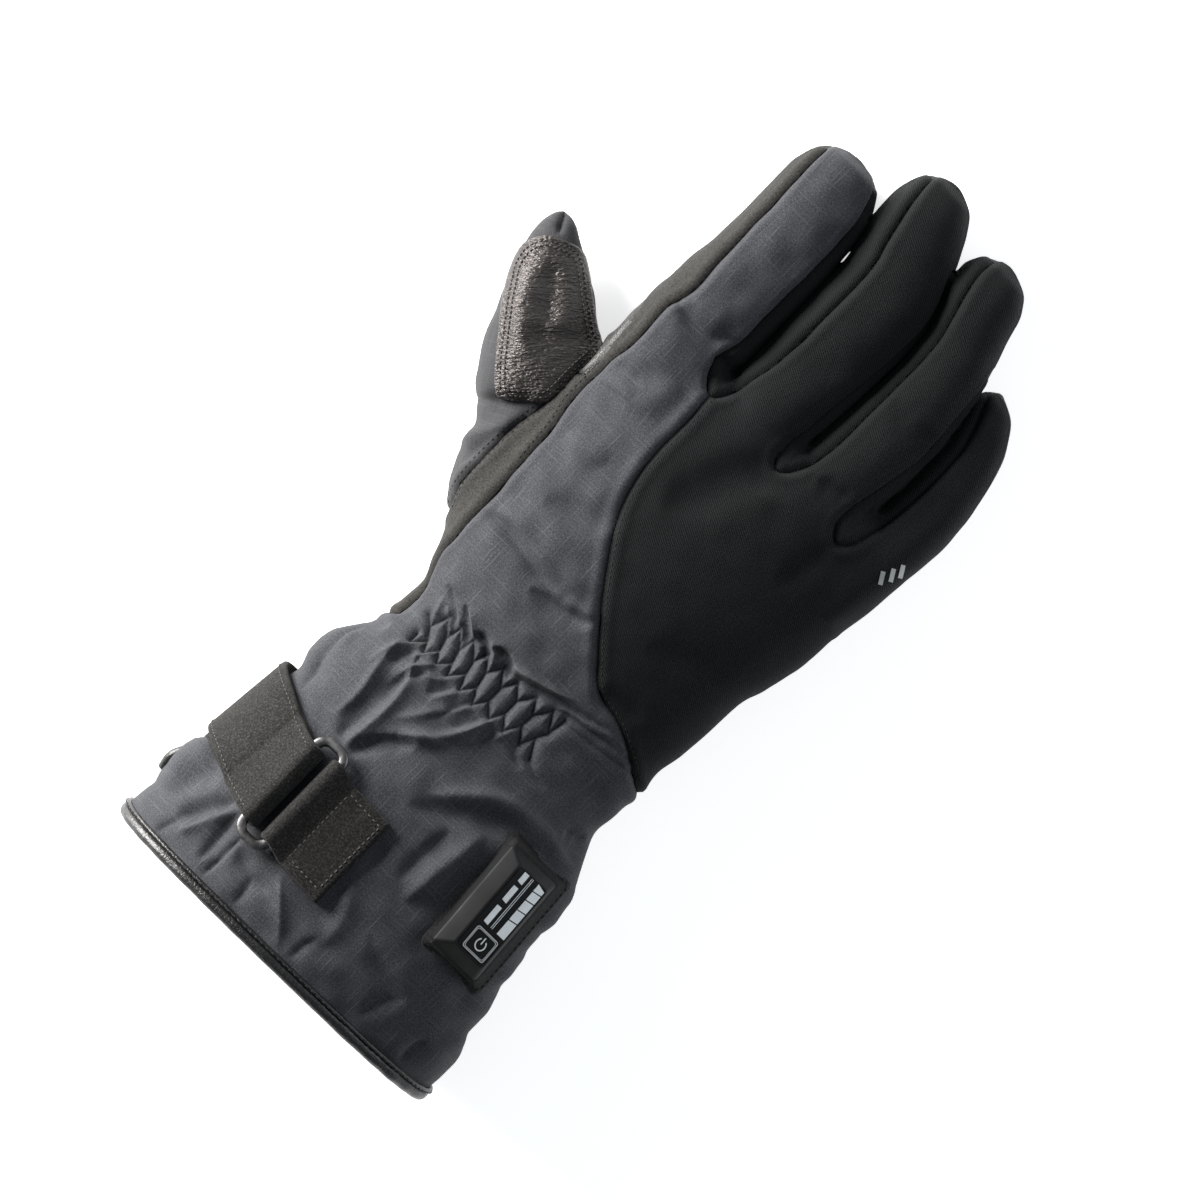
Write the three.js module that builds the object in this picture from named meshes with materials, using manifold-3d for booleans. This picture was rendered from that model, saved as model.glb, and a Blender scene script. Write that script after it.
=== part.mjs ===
// Heated gauntlet glove for the right hand, lying on its palm, in millimetres.
// +X points to the little finger, +Y to the fingertips and +Z out of the back of the hand.
import * as THREE from 'three';
import { mergeVertices } from 'three/addons/utils/BufferGeometryUtils.js';
import Module from 'manifold-3d';

const wasm = await Module();
wasm.setup();

// Walls and clearances
const GAP = 0.3;
const WALL = 4;
const STRAP_THICKNESS = 1.6;
const PATCH_THICKNESS = 1.2;
const BINDING_THICKNESS = 1.3;
const SEAM_MARGIN = 1;

// Gauntlet, wrist and hand
const GAUNTLET_LENGTH = 110;
const HEM_WIDTH = 132;
const HEM_HEIGHT = 60;
const WRIST_WIDTH = 96;
const WRIST_HEIGHT = 40;
const PALM_LENGTH = 116;
const PALM_WIDTH = 121;
const PALM_HEIGHT = 51;
const BINDING_WIDTH = 5;
const GATHER_LENGTH = 20;
const GATHER_FOLDS = 11;
const GATHER_DEPTH = 1.3;

// Fingers and thumb
const INDEX_LENGTH = 88;
const MIDDLE_LENGTH = 104;
const RING_LENGTH = 97;
const LITTLE_LENGTH = 65;
const FINGER_THICKNESS = 29;
const THUMB_LENGTH = 105;
const THUMB_WIDTH = 37;
const THUMB_THICKNESS = 29;

// Adjusting strap with its loop and tab
const STRAP_WIDTH = 32;
const STRAP_REACH = 96;
const LOOP_LENGTH = 43;
const LOOP_WIDTH = 14;
const LOOP_WIRE = 3.4;
const LOOP_THICKNESS = 2.8;
const TAB_LENGTH = 21;

// Heat control
const CONTROL_LENGTH = 43;
const CONTROL_WIDTH = 24;
const CONTROL_HEIGHT = 7.5;
const CONTROL_BEVEL = 4.2;
const CONTROL_BORDER = 3;
const CONTROL_CORNER = 2;
const FACE_THICKNESS = 1;
const FACE_MARGIN = 1;

// Shape of the sections: how square they are, and where they are widest as a share of their height
const BACK_SQUARENESS = 2.3;
const PALM_SQUARENESS = 3;
const FINGER_SQUARENESS = 2.4;
const WIDEST_LEVEL = 0.42;
// How far the palm side of the hem is drawn back, as a share of the gauntlet's length
const HEM_SLANT = 0.055;
// Height of the side seam between the palm and the back, as a share of PALM_HEIGHT
const SEAM_LEVEL = 0.235;
// Spacing of the body's rings, and the least between two of them
const RING_STEP = 10;
const RING_SPACE = 1.2;

// Gauntlet sections. along: share of GAUNTLET_LENGTH; spread, rise: share of the way from the wrist's width
// and height to the hem's; lift: share of WRIST_HEIGHT below the section; lean: share of HEM_WIDTH sideways.
const GAUNTLET_SECTIONS = [
  { along: 0.00, spread: 1.00, rise: 0.92, lift: 0.03, lean: 0.015 },
  { along: 0.11, spread: 1.00, rise: 1.03, lift: 0.05, lean: 0.019 },
  { along: 0.27, spread: 0.81, rise: 0.94, lift: 0.07, lean: 0.015 },
  { along: 0.45, spread: 0.63, rise: 0.82, lift: 0.09, lean: 0.014 },
  { along: 0.64, spread: 0.48, rise: 0.64, lift: 0.11, lean: 0.012 },
  { along: 0.77, spread: 0.38, rise: 0.43, lift: 0.12, lean: 0.002 },
  { along: 0.88, spread: 0.13, rise: 0.17, lift: 0.12, lean: 0.000 },
  { along: 1.00, spread: 0.00, rise: 0.00, lift: 0.11, lean: 0.015 },
];

// Hand sections beyond the wrist, with lengths as shares of PALM_LENGTH and leans as shares of PALM_WIDTH;
// lift is a share of PALM_HEIGHT, and what comes out below the table top is pressed flat by it.
const HAND_SECTIONS = [
  { along: 0.09, spread: 0.08, rise: 0.22, lift: 0.07, lean: 0.021 },
  { along: 0.22, spread: 0.27, rise: 0.61, lift: 0.01, lean: 0.012 },
  { along: 0.34, spread: 0.50, rise: 0.87, lift: -0.02, lean: -0.002 },
  { along: 0.52, spread: 0.74, rise: 1.00, lift: -0.03, lean: 0.002 },
  { along: 0.69, spread: 0.91, rise: 0.90, lift: -0.02, lean: 0.015 },
  { along: 0.86, spread: 0.97, rise: 0.60, lift: 0.01, lean: 0.022 },
  { along: 0.98, spread: 1.00, rise: 0.25, lift: 0.06, lean: 0.029 },
  { along: 1.02, spread: 0.97, rise: -0.30, lift: 0.12, lean: 0.029 },
  { along: 1.04, spread: 0.90, rise: -1.10, lift: 0.22, lean: 0.029 },
];

// Gathered wrist: rows of pleats that swap ridges and hollows, with places as shares of GATHER_LENGTH
// from the wrist line and heights as shares of GATHER_DEPTH
const GATHER_ROWS = [
  { at: -1.40, height: 0.00 },
  { at: -0.85, height: 0.45 },
  { at: -0.50, height: 1.00 },
  { at: -0.15, height: 0.75 },
  { at: 0.00, height: 0.00 },
  { at: 0.15, height: -1.00 },
  { at: 0.40, height: -0.80 },
  { at: 0.75, height: 0.00 },
];
// Where the gathers begin and end, as shares of the width from the thumb side
const GATHER_FROM = 0.085;
const GATHER_TO = 0.675;

// Large folds in the gauntlet's back: ends as shares of half HEM_WIDTH and of GAUNTLET_LENGTH, height and
// reach as shares of WALL; a negative height is a hollow
const GAUNTLET_FOLDS = [
  { fromX: -0.44, fromY: 0.85, toX: -0.48, toY: 0.56, height: -0.50, reach: 1.3 },
  { fromX: -0.33, fromY: 0.86, toX: -0.41, toY: 0.60, height: 0.30, reach: 1.0 },
  { fromX: -0.15, fromY: 0.73, toX: -0.36, toY: 0.58, height: -0.45, reach: 1.3 },
  { fromX: -0.03, fromY: 0.86, toX: -0.30, toY: 0.70, height: 0.35, reach: 1.1 },
  { fromX: -0.58, fromY: 0.86, toX: -0.57, toY: 0.71, height: -0.35, reach: 1.1 },
  { fromX: 0.66, fromY: 0.77, toX: 0.40, toY: 0.76, height: -0.40, reach: 1.2 },
  { fromX: 0.40, fromY: 0.76, toX: 0.07, toY: 0.59, height: -0.45, reach: 1.3 },
  { fromX: 0.74, fromY: 0.81, toX: 0.36, toY: 0.81, height: 0.30, reach: 1.1 },
  { fromX: -0.78, fromY: 0.07, toX: -0.62, toY: 0.24, height: -0.45, reach: 1.4 },
  { fromX: -0.53, fromY: 0.03, toX: -0.58, toY: 0.20, height: -0.35, reach: 1.0 },
  { fromX: 0.04, fromY: 0.04, toX: -0.20, toY: 0.18, height: 0.30, reach: 1.1 },
  { fromX: 0.50, fromY: 0.06, toX: 0.56, toY: 0.20, height: -0.30, reach: 1.4 },
];

// Creases across the back of the hand: ends as shares of half PALM_WIDTH and of PALM_LENGTH from the wrist
const HAND_FOLDS = [
  { fromX: -0.58, fromY: 0.47, toX: -0.23, toY: 0.54, height: -0.35, reach: 1.0 },
  { fromX: -0.78, fromY: 0.33, toX: -0.20, toY: 0.31, height: -0.30, reach: 0.9 },
  { fromX: -0.30, fromY: 0.27, toX: 0.03, toY: 0.30, height: -0.40, reach: 0.9 },
  { fromX: -0.10, fromY: 0.06, toX: 0.60, toY: 0.13, height: -0.50, reach: 1.0 },
  { fromX: 0.10, fromY: 0.97, toX: -0.06, toY: 0.66, height: -0.30, reach: 1.6 },
  { fromX: -0.38, fromY: 0.97, toX: -0.42, toY: 0.72, height: -0.25, reach: 1.5 },
];

// Fingers. place, width: shares of PALM_WIDTH; root: share of PALM_LENGTH; lean of the tip and taper towards
// it: shares of the finger's width; sink: share of FINGER_THICKNESS below the middle finger.
const FINGERS = {
  index: { length: INDEX_LENGTH, place: -0.348, width: 0.272, root: 1, lean: 0, taper: 0.02, sink: 0.02 },
  middle: { length: MIDDLE_LENGTH, place: -0.064, width: 0.253, root: 1, lean: -0.17, taper: 0.02, sink: 0 },
  ring: { length: RING_LENGTH, place: 0.199, width: 0.246, root: 1, lean: -0.22, taper: 0.03, sink: 0.01 },
  little: { length: LITTLE_LENGTH, place: 0.421, width: 0.184, root: 0.96, lean: -0.1, taper: 0.2, sink: 0.1 },
};
// Sections of every finger. along: share of its length from the root; level: share of the way down from the
// knuckles to the resting tip; wide, thick: shares of its width and of FINGER_THICKNESS.
const FINGER_SECTIONS = [
  { along: -0.26, level: 0.00, wide: 0.60, thick: 1.00 },
  { along: -0.12, level: 0.00, wide: 0.88, thick: 1.20 },
  { along: 0.02, level: 0.03, wide: 1.00, thick: 1.25 },
  { along: 0.22, level: 0.22, wide: 1.01, thick: 1.13 },
  { along: 0.46, level: 0.56, wide: 1.00, thick: 1.05 },
  { along: 0.70, level: 0.86, wide: 0.99, thick: 0.99 },
  { along: 0.83, level: 0.97, wide: 0.96, thick: 0.94 },
  { along: 0.90, level: 1.00, wide: 0.86, thick: 0.86 },
  { along: 0.96, level: 1.00, wide: 0.68, thick: 0.70 },
  { along: 1.00, level: 1.00, wide: 0.42, thick: 0.38 },
];
// Height of a finger's axis at the knuckle, as a share of PALM_HEIGHT, and of its resting tip, pressed a
// little flat, as a share of its thickness
const KNUCKLE_LEVEL = 0.48;
const TIP_LEVEL = 0.46;
// Where along a finger its sideways lean begins
const LEAN_START = 0.4;
const LEAN_CURVE = 1.3;
// How far the strips between the fingers reach onto the finger on each side, as shares of its width
const STRIP_ON_RIGHT_SIDE = 0.11;
const STRIP_ON_LEFT_SIDE = 0.22;

// Thumb. along: share of THUMB_LENGTH; wide, shift: shares of THUMB_WIDTH, shift being outwards;
// thick: share of THUMB_THICKNESS.
const THUMB_SECTIONS = [
  { along: -0.14, wide: 0.35, shift: 0.00, thick: 0.50 },
  { along: -0.05, wide: 0.62, shift: 0.02, thick: 0.85 },
  { along: 0.08, wide: 0.76, shift: 0.00, thick: 1.00 },
  { along: 0.22, wide: 0.84, shift: -0.05, thick: 1.03 },
  { along: 0.32, wide: 0.84, shift: -0.11, thick: 0.98 },
  { along: 0.45, wide: 1.00, shift: -0.11, thick: 1.04 },
  { along: 0.59, wide: 0.98, shift: -0.11, thick: 1.00 },
  { along: 0.72, wide: 0.80, shift: -0.07, thick: 0.88 },
  { along: 0.86, wide: 0.54, shift: -0.02, thick: 0.66 },
  { along: 0.95, wide: 0.30, shift: 0.00, thick: 0.42 },
  { along: 1.00, wide: 0.08, shift: 0.00, thick: 0.14 },
];
const THUMB_ANGLE = 29.5 * Math.PI / 180;
// Heights of the thumb's axis at its root and tip, as shares of THUMB_THICKNESS
const THUMB_ROOT_LEVEL = 0.56;
const THUMB_TIP_LEVEL = 0.40;
// Root of the thumb's axis, as shares of half PALM_WIDTH and of PALM_LENGTH
const THUMB_ROOT = { x: -0.76, y: 0.31 };

// Seam between the nylon and the softshell on the back: shares of half PALM_WIDTH and of PALM_LENGTH
const BACK_SEAM = [
  { x: -0.36, y: 1.00 },
  { x: -0.36, y: 0.78 },
  { x: -0.28, y: 0.60 },
  { x: -0.08, y: 0.43 },
  { x: 0.18, y: 0.26 },
  { x: 0.50, y: 0.16 },
  { x: 0.86, y: 0.06 },
];
// Seams of the stretch gusset on the thumb side, and of the thumb, in the same shares
const GUSSET_SEAM = [
  { x: -0.72, y: -0.02 },
  { x: -0.80, y: 0.12 },
  { x: -0.82, y: 0.50 },
  { x: -0.87, y: 0.70 },
  { x: -0.85, y: 1.00 },
];
const THUMB_SEAM = [
  { x: -0.82, y: 0.13 },
  { x: -0.96, y: 0.28 },
  { x: -0.99, y: 0.47 },
  { x: -0.98, y: 0.70 },
  { x: -0.94, y: 0.88 },
  { x: -0.98, y: 0.94 },
  { x: -0.98, y: 1.40 },
];
// Leather patch on the thumb: shares of THUMB_LENGTH along it and of half THUMB_WIDTH outwards
const THUMB_PATCH = [
  { along: 0.37, out: 0.20 },
  { along: 0.66, out: 1.20 },
  { along: 0.88, out: 1.20 },
  { along: 0.89, out: -1.40 },
  { along: 0.42, out: -1.60 },
];

// Places on the gauntlet: shares of half HEM_WIDTH and of GAUNTLET_LENGTH
const LOOP_PLACE = { x: -0.425, y: 0.368 };
const CONTROL_PLACE = { x: 0.665, y: 0.53 };
const CONTROL_TURN = 4 * Math.PI / 180;
// How far the strap climbs towards the wrist for each millimetre that it goes round, and the share of its
// length from the loop where its free end lies back on it
const STRAP_CLIMB = 0.42;
const STRAP_DOUBLED = 0.6;
// How far a fold wraps round its bar, and the length of its tail as a share of the bar's width
const FOLD_WRAP = 1.1 * Math.PI;
const FOLD_TAIL = 3;

const FAR = 4 * (GAUNTLET_LENGTH + PALM_LENGTH + MIDDLE_LENGTH);
const SEAM_HEIGHT = SEAM_LEVEL * PALM_HEIGHT;

const mix = (from, to, share) => from + (to - from) * share;

function handPoint(share) {
  return new THREE.Vector2(share.x * PALM_WIDTH / 2, GAUNTLET_LENGTH + share.y * PALM_LENGTH);
}

// Sections of the body from both tables, as lengths
const SECTIONS = [
  ...GAUNTLET_SECTIONS.map((row) => ({
    y: row.along * GAUNTLET_LENGTH,
    width: mix(WRIST_WIDTH, HEM_WIDTH, row.spread),
    height: mix(WRIST_HEIGHT, HEM_HEIGHT, row.rise),
    bottom: row.lift * WRIST_HEIGHT,
    centre: row.lean * HEM_WIDTH,
  })),
  ...HAND_SECTIONS.map((row) => ({
    y: GAUNTLET_LENGTH + row.along * PALM_LENGTH,
    width: mix(WRIST_WIDTH, PALM_WIDTH, row.spread),
    height: mix(WRIST_HEIGHT, PALM_HEIGHT, row.rise),
    bottom: row.lift * PALM_HEIGHT,
    centre: row.lean * PALM_WIDTH,
  })),
];

// Straight-line value of a table's row at a place along one of its columns
function rowAt(rows, column, place) {
  let next = rows.findIndex((row) => row[column] > place);
  if (next < 0) next = rows.length - 1;
  next = Math.max(next, 1);
  const before = rows[next - 1];
  const after = rows[next];
  const share = THREE.MathUtils.clamp((place - before[column]) / (after[column] - before[column]), 0, 1);
  const row = {};
  for (const name of Object.keys(before)) row[name] = mix(before[name], after[name], share);
  return row;
}

// One coordinate of a superellipse: a power of the sine or cosine that keeps its sign
const rounded = (value, squareness) => Math.sign(value) * Math.abs(value) ** (2 / squareness);

// Height that a table of folds adds at a point of the back
function foldHeight(folds, halfWidth, length, startY, point) {
  let height = 0;
  for (const fold of folds) {
    const from = new THREE.Vector2(fold.fromX * halfWidth, startY + fold.fromY * length);
    const to = new THREE.Vector2(fold.toX * halfWidth, startY + fold.toY * length);
    const line = to.clone().sub(from);
    const share = THREE.MathUtils.clamp(point.clone().sub(from).dot(line) / line.lengthSq(), 0, 1);
    const distance = from.addScaledVector(line, share).distanceTo(point);
    height += WALL * fold.height * Math.exp(-((distance / (WALL * fold.reach)) ** 2));
  }
  return height;
}

// Height of the pleats at the wrist: straight ridges and hollows across the width, in rows along it
function gatherHeight(across, y) {
  if (across < GATHER_FROM || across > GATHER_TO) return 0;
  const at = (y - GAUNTLET_LENGTH) / GATHER_LENGTH;
  if (at < GATHER_ROWS[0].at || at > GATHER_ROWS[GATHER_ROWS.length - 1].at) return 0;
  const phase = GATHER_FOLDS * (across - GATHER_FROM) / (GATHER_TO - GATHER_FROM);
  const ripple = 1 - 4 * Math.abs(phase - Math.floor(phase) - 0.5);
  return GATHER_DEPTH * rowAt(GATHER_ROWS, 'at', at).height * ripple;
}

// A point of the body's skin, moved out by an offset. Angle 0 is the little finger's side, and the back of
// the hand lies between 0 and pi.
function bodyPoint(angle, y, offset) {
  const section = rowAt(SECTIONS, 'y', y);
  const onBack = Math.sin(angle) >= 0;
  const squareness = onBack ? BACK_SQUARENESS : PALM_SQUARENESS;
  const widest = section.bottom + WIDEST_LEVEL * section.height;
  const reach = (onBack ? section.bottom + section.height - widest : widest - section.bottom) + offset;
  const cosine = rounded(Math.cos(angle), squareness);
  const sine = rounded(Math.sin(angle), squareness);
  const x = section.centre + cosine * (section.width / 2 + offset);
  let z = Math.max(widest + sine * reach, -offset);
  if (onBack && offset >= 0) {
    const spot = new THREE.Vector2(section.centre + cosine * section.width / 2, y);
    const folds = foldHeight(GAUNTLET_FOLDS, HEM_WIDTH / 2, GAUNTLET_LENGTH, 0, spot)
      + foldHeight(HAND_FOLDS, PALM_WIDTH / 2, PALM_LENGTH, GAUNTLET_LENGTH, spot);
    z += sine * (folds + gatherHeight((1 + cosine) / 2, y));
  }
  const fade = THREE.MathUtils.clamp(1 - y / GAUNTLET_LENGTH, 0, 1) ** 2;
  const depth = 1 - (section.bottom + section.height / 2 + sine * section.height / 2) / section.height;
  return new THREE.Vector3(x, y + HEM_SLANT * GAUNTLET_LENGTH * depth * fade, z);
}

// Angles round the body: even steps, with two for each pleat of the gathers, and fewer round the hollow
function bodyAngles(offset) {
  const hollowSteps = 16;
  if (offset < 0) return Array.from({ length: hollowSteps }, (_, i) => 2 * Math.PI * i / hollowSteps);
  const angleAt = (across) => {
    const cosine = 2 * across - 1;
    return Math.acos(Math.sign(cosine) * Math.abs(cosine) ** (BACK_SQUARENESS / 2));
  };
  const start = angleAt(GATHER_TO);
  const end = angleAt(GATHER_FROM);
  const angles = [];
  const rightSteps = 6;
  const pleatSteps = 2 * GATHER_FOLDS;
  const leftSteps = 4;
  const palmSteps = 11;
  for (let i = 0; i < rightSteps; i += 1) angles.push(start * i / rightSteps);
  for (let i = 0; i < pleatSteps; i += 1) angles.push(angleAt(mix(GATHER_TO, GATHER_FROM, i / pleatSteps)));
  for (let i = 0; i < leftSteps; i += 1) angles.push(mix(end, Math.PI, i / leftSteps));
  for (let i = 0; i < palmSteps; i += 1) angles.push(Math.PI * (1 + i / palmSteps));
  return angles;
}

// Places of the body's rings: the tables' rows, the gathers' rows, and steps between those far apart
function bodyPlaces() {
  const places = SECTIONS.map((section) => section.y);
  for (const row of GATHER_ROWS) places.push(GAUNTLET_LENGTH + row.at * GATHER_LENGTH);
  places.sort((a, b) => a - b);
  const spread = [places[0]];
  for (const place of places.slice(1)) {
    const last = spread[spread.length - 1];
    const steps = Math.round((place - last) / RING_STEP) || 1;
    if (place - last < RING_SPACE) continue;
    for (let i = 1; i <= steps; i += 1) spread.push(mix(last, place, i / steps));
  }
  return spread;
}

// A closed surface through rings of equal length, turned to face out
function loft(rings) {
  const count = rings[0].length;
  const positions = [];
  for (const ring of rings) for (const point of ring) positions.push(point.x, point.y, point.z);
  const index = [];
  for (let i = 0; i + 1 < rings.length; i += 1) {
    for (let j = 0; j < count; j += 1) {
      const k = (j + 1) % count;
      index.push(i * count + j, i * count + k, (i + 1) * count + k);
      index.push(i * count + j, (i + 1) * count + k, (i + 1) * count + j);
    }
  }
  for (const [ring, forward] of [[0, true], [rings.length - 1, false]]) {
    const middle = new THREE.Vector3();
    for (const point of rings[ring]) middle.addScaledVector(point, 1 / count);
    const hub = positions.length / 3;
    positions.push(middle.x, middle.y, middle.z);
    for (let j = 0; j < count; j += 1) {
      const edge = [ring * count + j, ring * count + (j + 1) % count];
      if (forward) edge.reverse();
      index.push(hub, ...edge);
    }
  }
  let volume = 0;
  const corner = (i) => new THREE.Vector3().fromArray(positions, 3 * i);
  for (let i = 0; i < index.length; i += 3) {
    volume += corner(index[i]).dot(corner(index[i + 1]).cross(corner(index[i + 2])));
  }
  if (volume < 0) index.reverse();
  const geometry = new THREE.BufferGeometry();
  geometry.setAttribute('position', new THREE.Float32BufferAttribute(positions, 3));
  geometry.setIndex(index);
  return geometry;
}

function toSolid(geometry) {
  const bare = geometry.clone();
  bare.deleteAttribute('normal');
  bare.deleteAttribute('uv');
  const merged = mergeVertices(bare, 1e-4);
  return new wasm.Manifold(new wasm.Mesh({
    numProp: 3,
    vertProperties: new Float32Array(merged.attributes.position.array),
    triVerts: new Uint32Array(merged.index.array),
  }));
}

function toGeometry(solid) {
  const mesh = solid.getMesh();
  const geometry = new THREE.BufferGeometry();
  geometry.setAttribute('position', new THREE.Float32BufferAttribute(mesh.vertProperties, 3));
  geometry.setIndex(Array.from(mesh.triVerts));
  geometry.computeVertexNormals();
  return geometry;
}

// The biggest of the loose bodies that a cut leaves
function main(solid) {
  return solid.decompose().reduce((best, body) => (body.volume() > best.volume() ? body : best));
}

function together(solids) {
  return solids.reduce((all, solid) => all.add(solid));
}

// A straight-sided block over an outline, between two heights
function prism(outline, low, high) {
  const depth = high - low;
  const geometry = new THREE.ExtrudeGeometry(new THREE.Shape(outline), { depth, bevelEnabled: false });
  geometry.translate(0, 0, low);
  return toSolid(geometry);
}

// An outline moved out by a distance, corner by corner, with the sharpest corners cut short
function grown(outline, distance) {
  const turn = Math.sign(THREE.ShapeUtils.area(outline));
  const sharpest = 0.4;
  return outline.map((point, i) => {
    const before = outline.at(i - 1).clone().sub(point).normalize();
    const after = outline[(i + 1) % outline.length].clone().sub(point).normalize();
    const normalBefore = new THREE.Vector2(-before.y, before.x).multiplyScalar(turn);
    const normalAfter = new THREE.Vector2(after.y, -after.x).multiplyScalar(turn);
    const middle = normalBefore.add(normalAfter).normalize();
    return point.clone().addScaledVector(middle, distance / Math.max(middle.dot(normalAfter), sharpest));
  });
}

// The body as a solid: its skin moved out by an offset, from the hem to beyond the knuckles. A hollow
// reaches out past the hem, and has fewer faces.
function bodySolid(offset) {
  const angles = bodyAngles(offset);
  let places = [-offset, ...bodyPlaces().slice(1)];
  if (offset < 0) places = [-WALL, ...SECTIONS.slice(0, -2).map((section) => section.y)];
  return toSolid(loft(places.map((y) => angles.map((angle) => bodyPoint(angle, y, offset)))));
}

function fingerCentre(finger, along) {
  const bend = Math.max(0, (along - LEAN_START) / (1 - LEAN_START)) ** LEAN_CURVE;
  const palmCentre = SECTIONS[SECTIONS.length - 1].centre;
  return palmCentre + finger.place * PALM_WIDTH + finger.lean * bend * finger.width * PALM_WIDTH;
}

function fingerHalfWidth(finger, along) {
  const row = rowAt(FINGER_SECTIONS, 'along', along);
  const taper = 1 - finger.taper * Math.max(0, along) ** 2;
  return finger.width * PALM_WIDTH / 2 * row.wide * taper;
}

function fingerY(finger, along, offset = 0) {
  return GAUNTLET_LENGTH + finger.root * PALM_LENGTH + along * (finger.length + (along > 0 ? offset : 0));
}

// Height of a finger's axis, and half its thickness
function fingerLevel(finger, along) {
  const row = rowAt(FINGER_SECTIONS, 'along', along);
  const size = FINGER_THICKNESS * Math.sqrt(finger.width / FINGERS.middle.width);
  const knuckle = KNUCKLE_LEVEL * PALM_HEIGHT - finger.sink * FINGER_THICKNESS;
  return { axis: mix(knuckle, size * TIP_LEVEL, row.level), half: size * row.thick / 2 };
}

function ellipseRing(count, centre, side, up, halfWidth, halfHeight, floor) {
  return Array.from({ length: count }, (_, i) => {
    const angle = 2 * Math.PI * i / count;
    const point = centre.clone();
    point.addScaledVector(side, rounded(Math.cos(angle), FINGER_SQUARENESS) * halfWidth);
    point.addScaledVector(up, rounded(Math.sin(angle), FINGER_SQUARENESS) * halfHeight);
    point.z = Math.max(point.z, floor);
    return point;
  });
}

function fingerSolid(finger, offset) {
  const count = offset < 0 ? 8 : 12;
  const rows = offset < 0 ? FINGER_SECTIONS.filter((_, i) => i % 2 === 0) : FINGER_SECTIONS;
  const side = new THREE.Vector3(1, 0, 0);
  const up = new THREE.Vector3(0, 0, 1);
  return toSolid(loft(rows.map((row) => {
    const level = fingerLevel(finger, row.along);
    const y = fingerY(finger, row.along, offset);
    const centre = new THREE.Vector3(fingerCentre(finger, row.along), y, level.axis);
    const halfWidth = Math.max(fingerHalfWidth(finger, row.along) + offset, 1);
    return ellipseRing(count, centre, side, up, halfWidth, Math.max(level.half + offset, 1), -offset);
  })));
}

const THUMB_AXIS = new THREE.Vector3(-Math.sin(THUMB_ANGLE), Math.cos(THUMB_ANGLE), 0);
const THUMB_OUT = new THREE.Vector3(-Math.cos(THUMB_ANGLE), -Math.sin(THUMB_ANGLE), 0);

function thumbPoint(along, out) {
  const root = handPoint(THUMB_ROOT);
  const point = new THREE.Vector3(root.x, root.y, 0);
  return point.addScaledVector(THUMB_AXIS, along).addScaledVector(THUMB_OUT, out);
}

function thumbSolid(offset) {
  const count = offset < 0 ? 10 : 14;
  const rows = offset < 0 ? THUMB_SECTIONS.slice(2) : THUMB_SECTIONS;
  return toSolid(loft(rows.map((row) => {
    const reach = THUMB_LENGTH + (row.along > 0 ? offset : 0);
    const centre = thumbPoint(row.along * reach, row.shift * THUMB_WIDTH);
    const half = row.thick * THUMB_THICKNESS / 2;
    const level = mix(THUMB_ROOT_LEVEL, THUMB_TIP_LEVEL, THREE.MathUtils.clamp(row.along, 0, 1));
    centre.z = level * THUMB_THICKNESS;
    const up = new THREE.Vector3(0, 0, 1);
    const halfWidth = Math.max(row.wide * THUMB_WIDTH / 2 + offset, 1);
    return ellipseRing(count, centre, THUMB_OUT, up, halfWidth, Math.max(half + offset, 1), -offset);
  })));
}

// The whole glove's skin moved out by an offset, and the hollow inside it
function gloveSolid(offset) {
  const fingers = Object.values(FINGERS).map((finger) => fingerSolid(finger, offset));
  return together([bodySolid(offset), thumbSolid(offset), ...fingers]);
}

const floorBlock = prism([
  new THREE.Vector2(-FAR, -FAR),
  new THREE.Vector2(FAR, -FAR),
  new THREE.Vector2(FAR, FAR),
  new THREE.Vector2(-FAR, FAR),
], 0, FAR);

const skin = gloveSolid(0);
const hollow = gloveSolid(-WALL);
const clearSkin = gloveSolid(GAP);
const shell = skin.subtract(hollow);

// Panels. Each is cut out of the shell, and what is left loses it again, grown by the gap.
const panels = {};
let left = shell;

function cutPanel(name, outline, low, high) {
  panels[name] = main(left.intersect(prism(outline, low, high)));
  left = left.subtract(prism(grown(outline, GAP), low - GAP, high + GAP));
}

function strip(points, farX) {
  const first = points[0];
  const last = points[points.length - 1];
  return [...points, new THREE.Vector2(farX, last.y), new THREE.Vector2(farX, first.y)];
}

// Strips between two fingers: down the side of one, round the crotch and up the side of the next
function fourchetteOutline(one, other) {
  const points = [];
  const along = [0.1, 0.35, 0.6, 0.8, 1];
  const widestEnd = 0.83;
  const onOne = STRIP_ON_RIGHT_SIDE * one.width * PALM_WIDTH;
  const onOther = STRIP_ON_LEFT_SIDE * other.width * PALM_WIDTH;
  const startY = Math.max(fingerY(one, 0), fingerY(other, 0));
  for (const share of along) {
    const x = fingerCentre(one, share) + fingerHalfWidth(one, Math.min(share, widestEnd)) - onOne;
    points.push(new THREE.Vector2(x, startY + share * (fingerY(one, 1) - startY)));
  }
  const top = Math.max(fingerY(one, 1), fingerY(other, 1)) + WALL;
  points.push(new THREE.Vector2(points[points.length - 1].x, top));
  points.push(new THREE.Vector2(fingerCentre(other, 1) - fingerHalfWidth(other, widestEnd) + onOne, top));
  for (const share of [...along].reverse()) {
    const x = fingerCentre(other, share) - fingerHalfWidth(other, Math.min(share, widestEnd)) + onOther;
    points.push(new THREE.Vector2(x, startY + share * (fingerY(other, 1) - startY)));
  }
  const oneEdge = fingerCentre(one, 0) + fingerHalfWidth(one, 0);
  const otherEdge = fingerCentre(other, 0) - fingerHalfWidth(other, 0);
  points.push(new THREE.Vector2((oneEdge + otherEdge) / 2, startY - onOne));
  return points.reverse();
}

const beyondTips = fingerY(FINGERS.middle, 1) + FAR / 8;
const thumbSeam = THUMB_SEAM.map(handPoint);
cutPanel('thumb', strip(thumbSeam, -FAR), -1, FAR);

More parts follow.
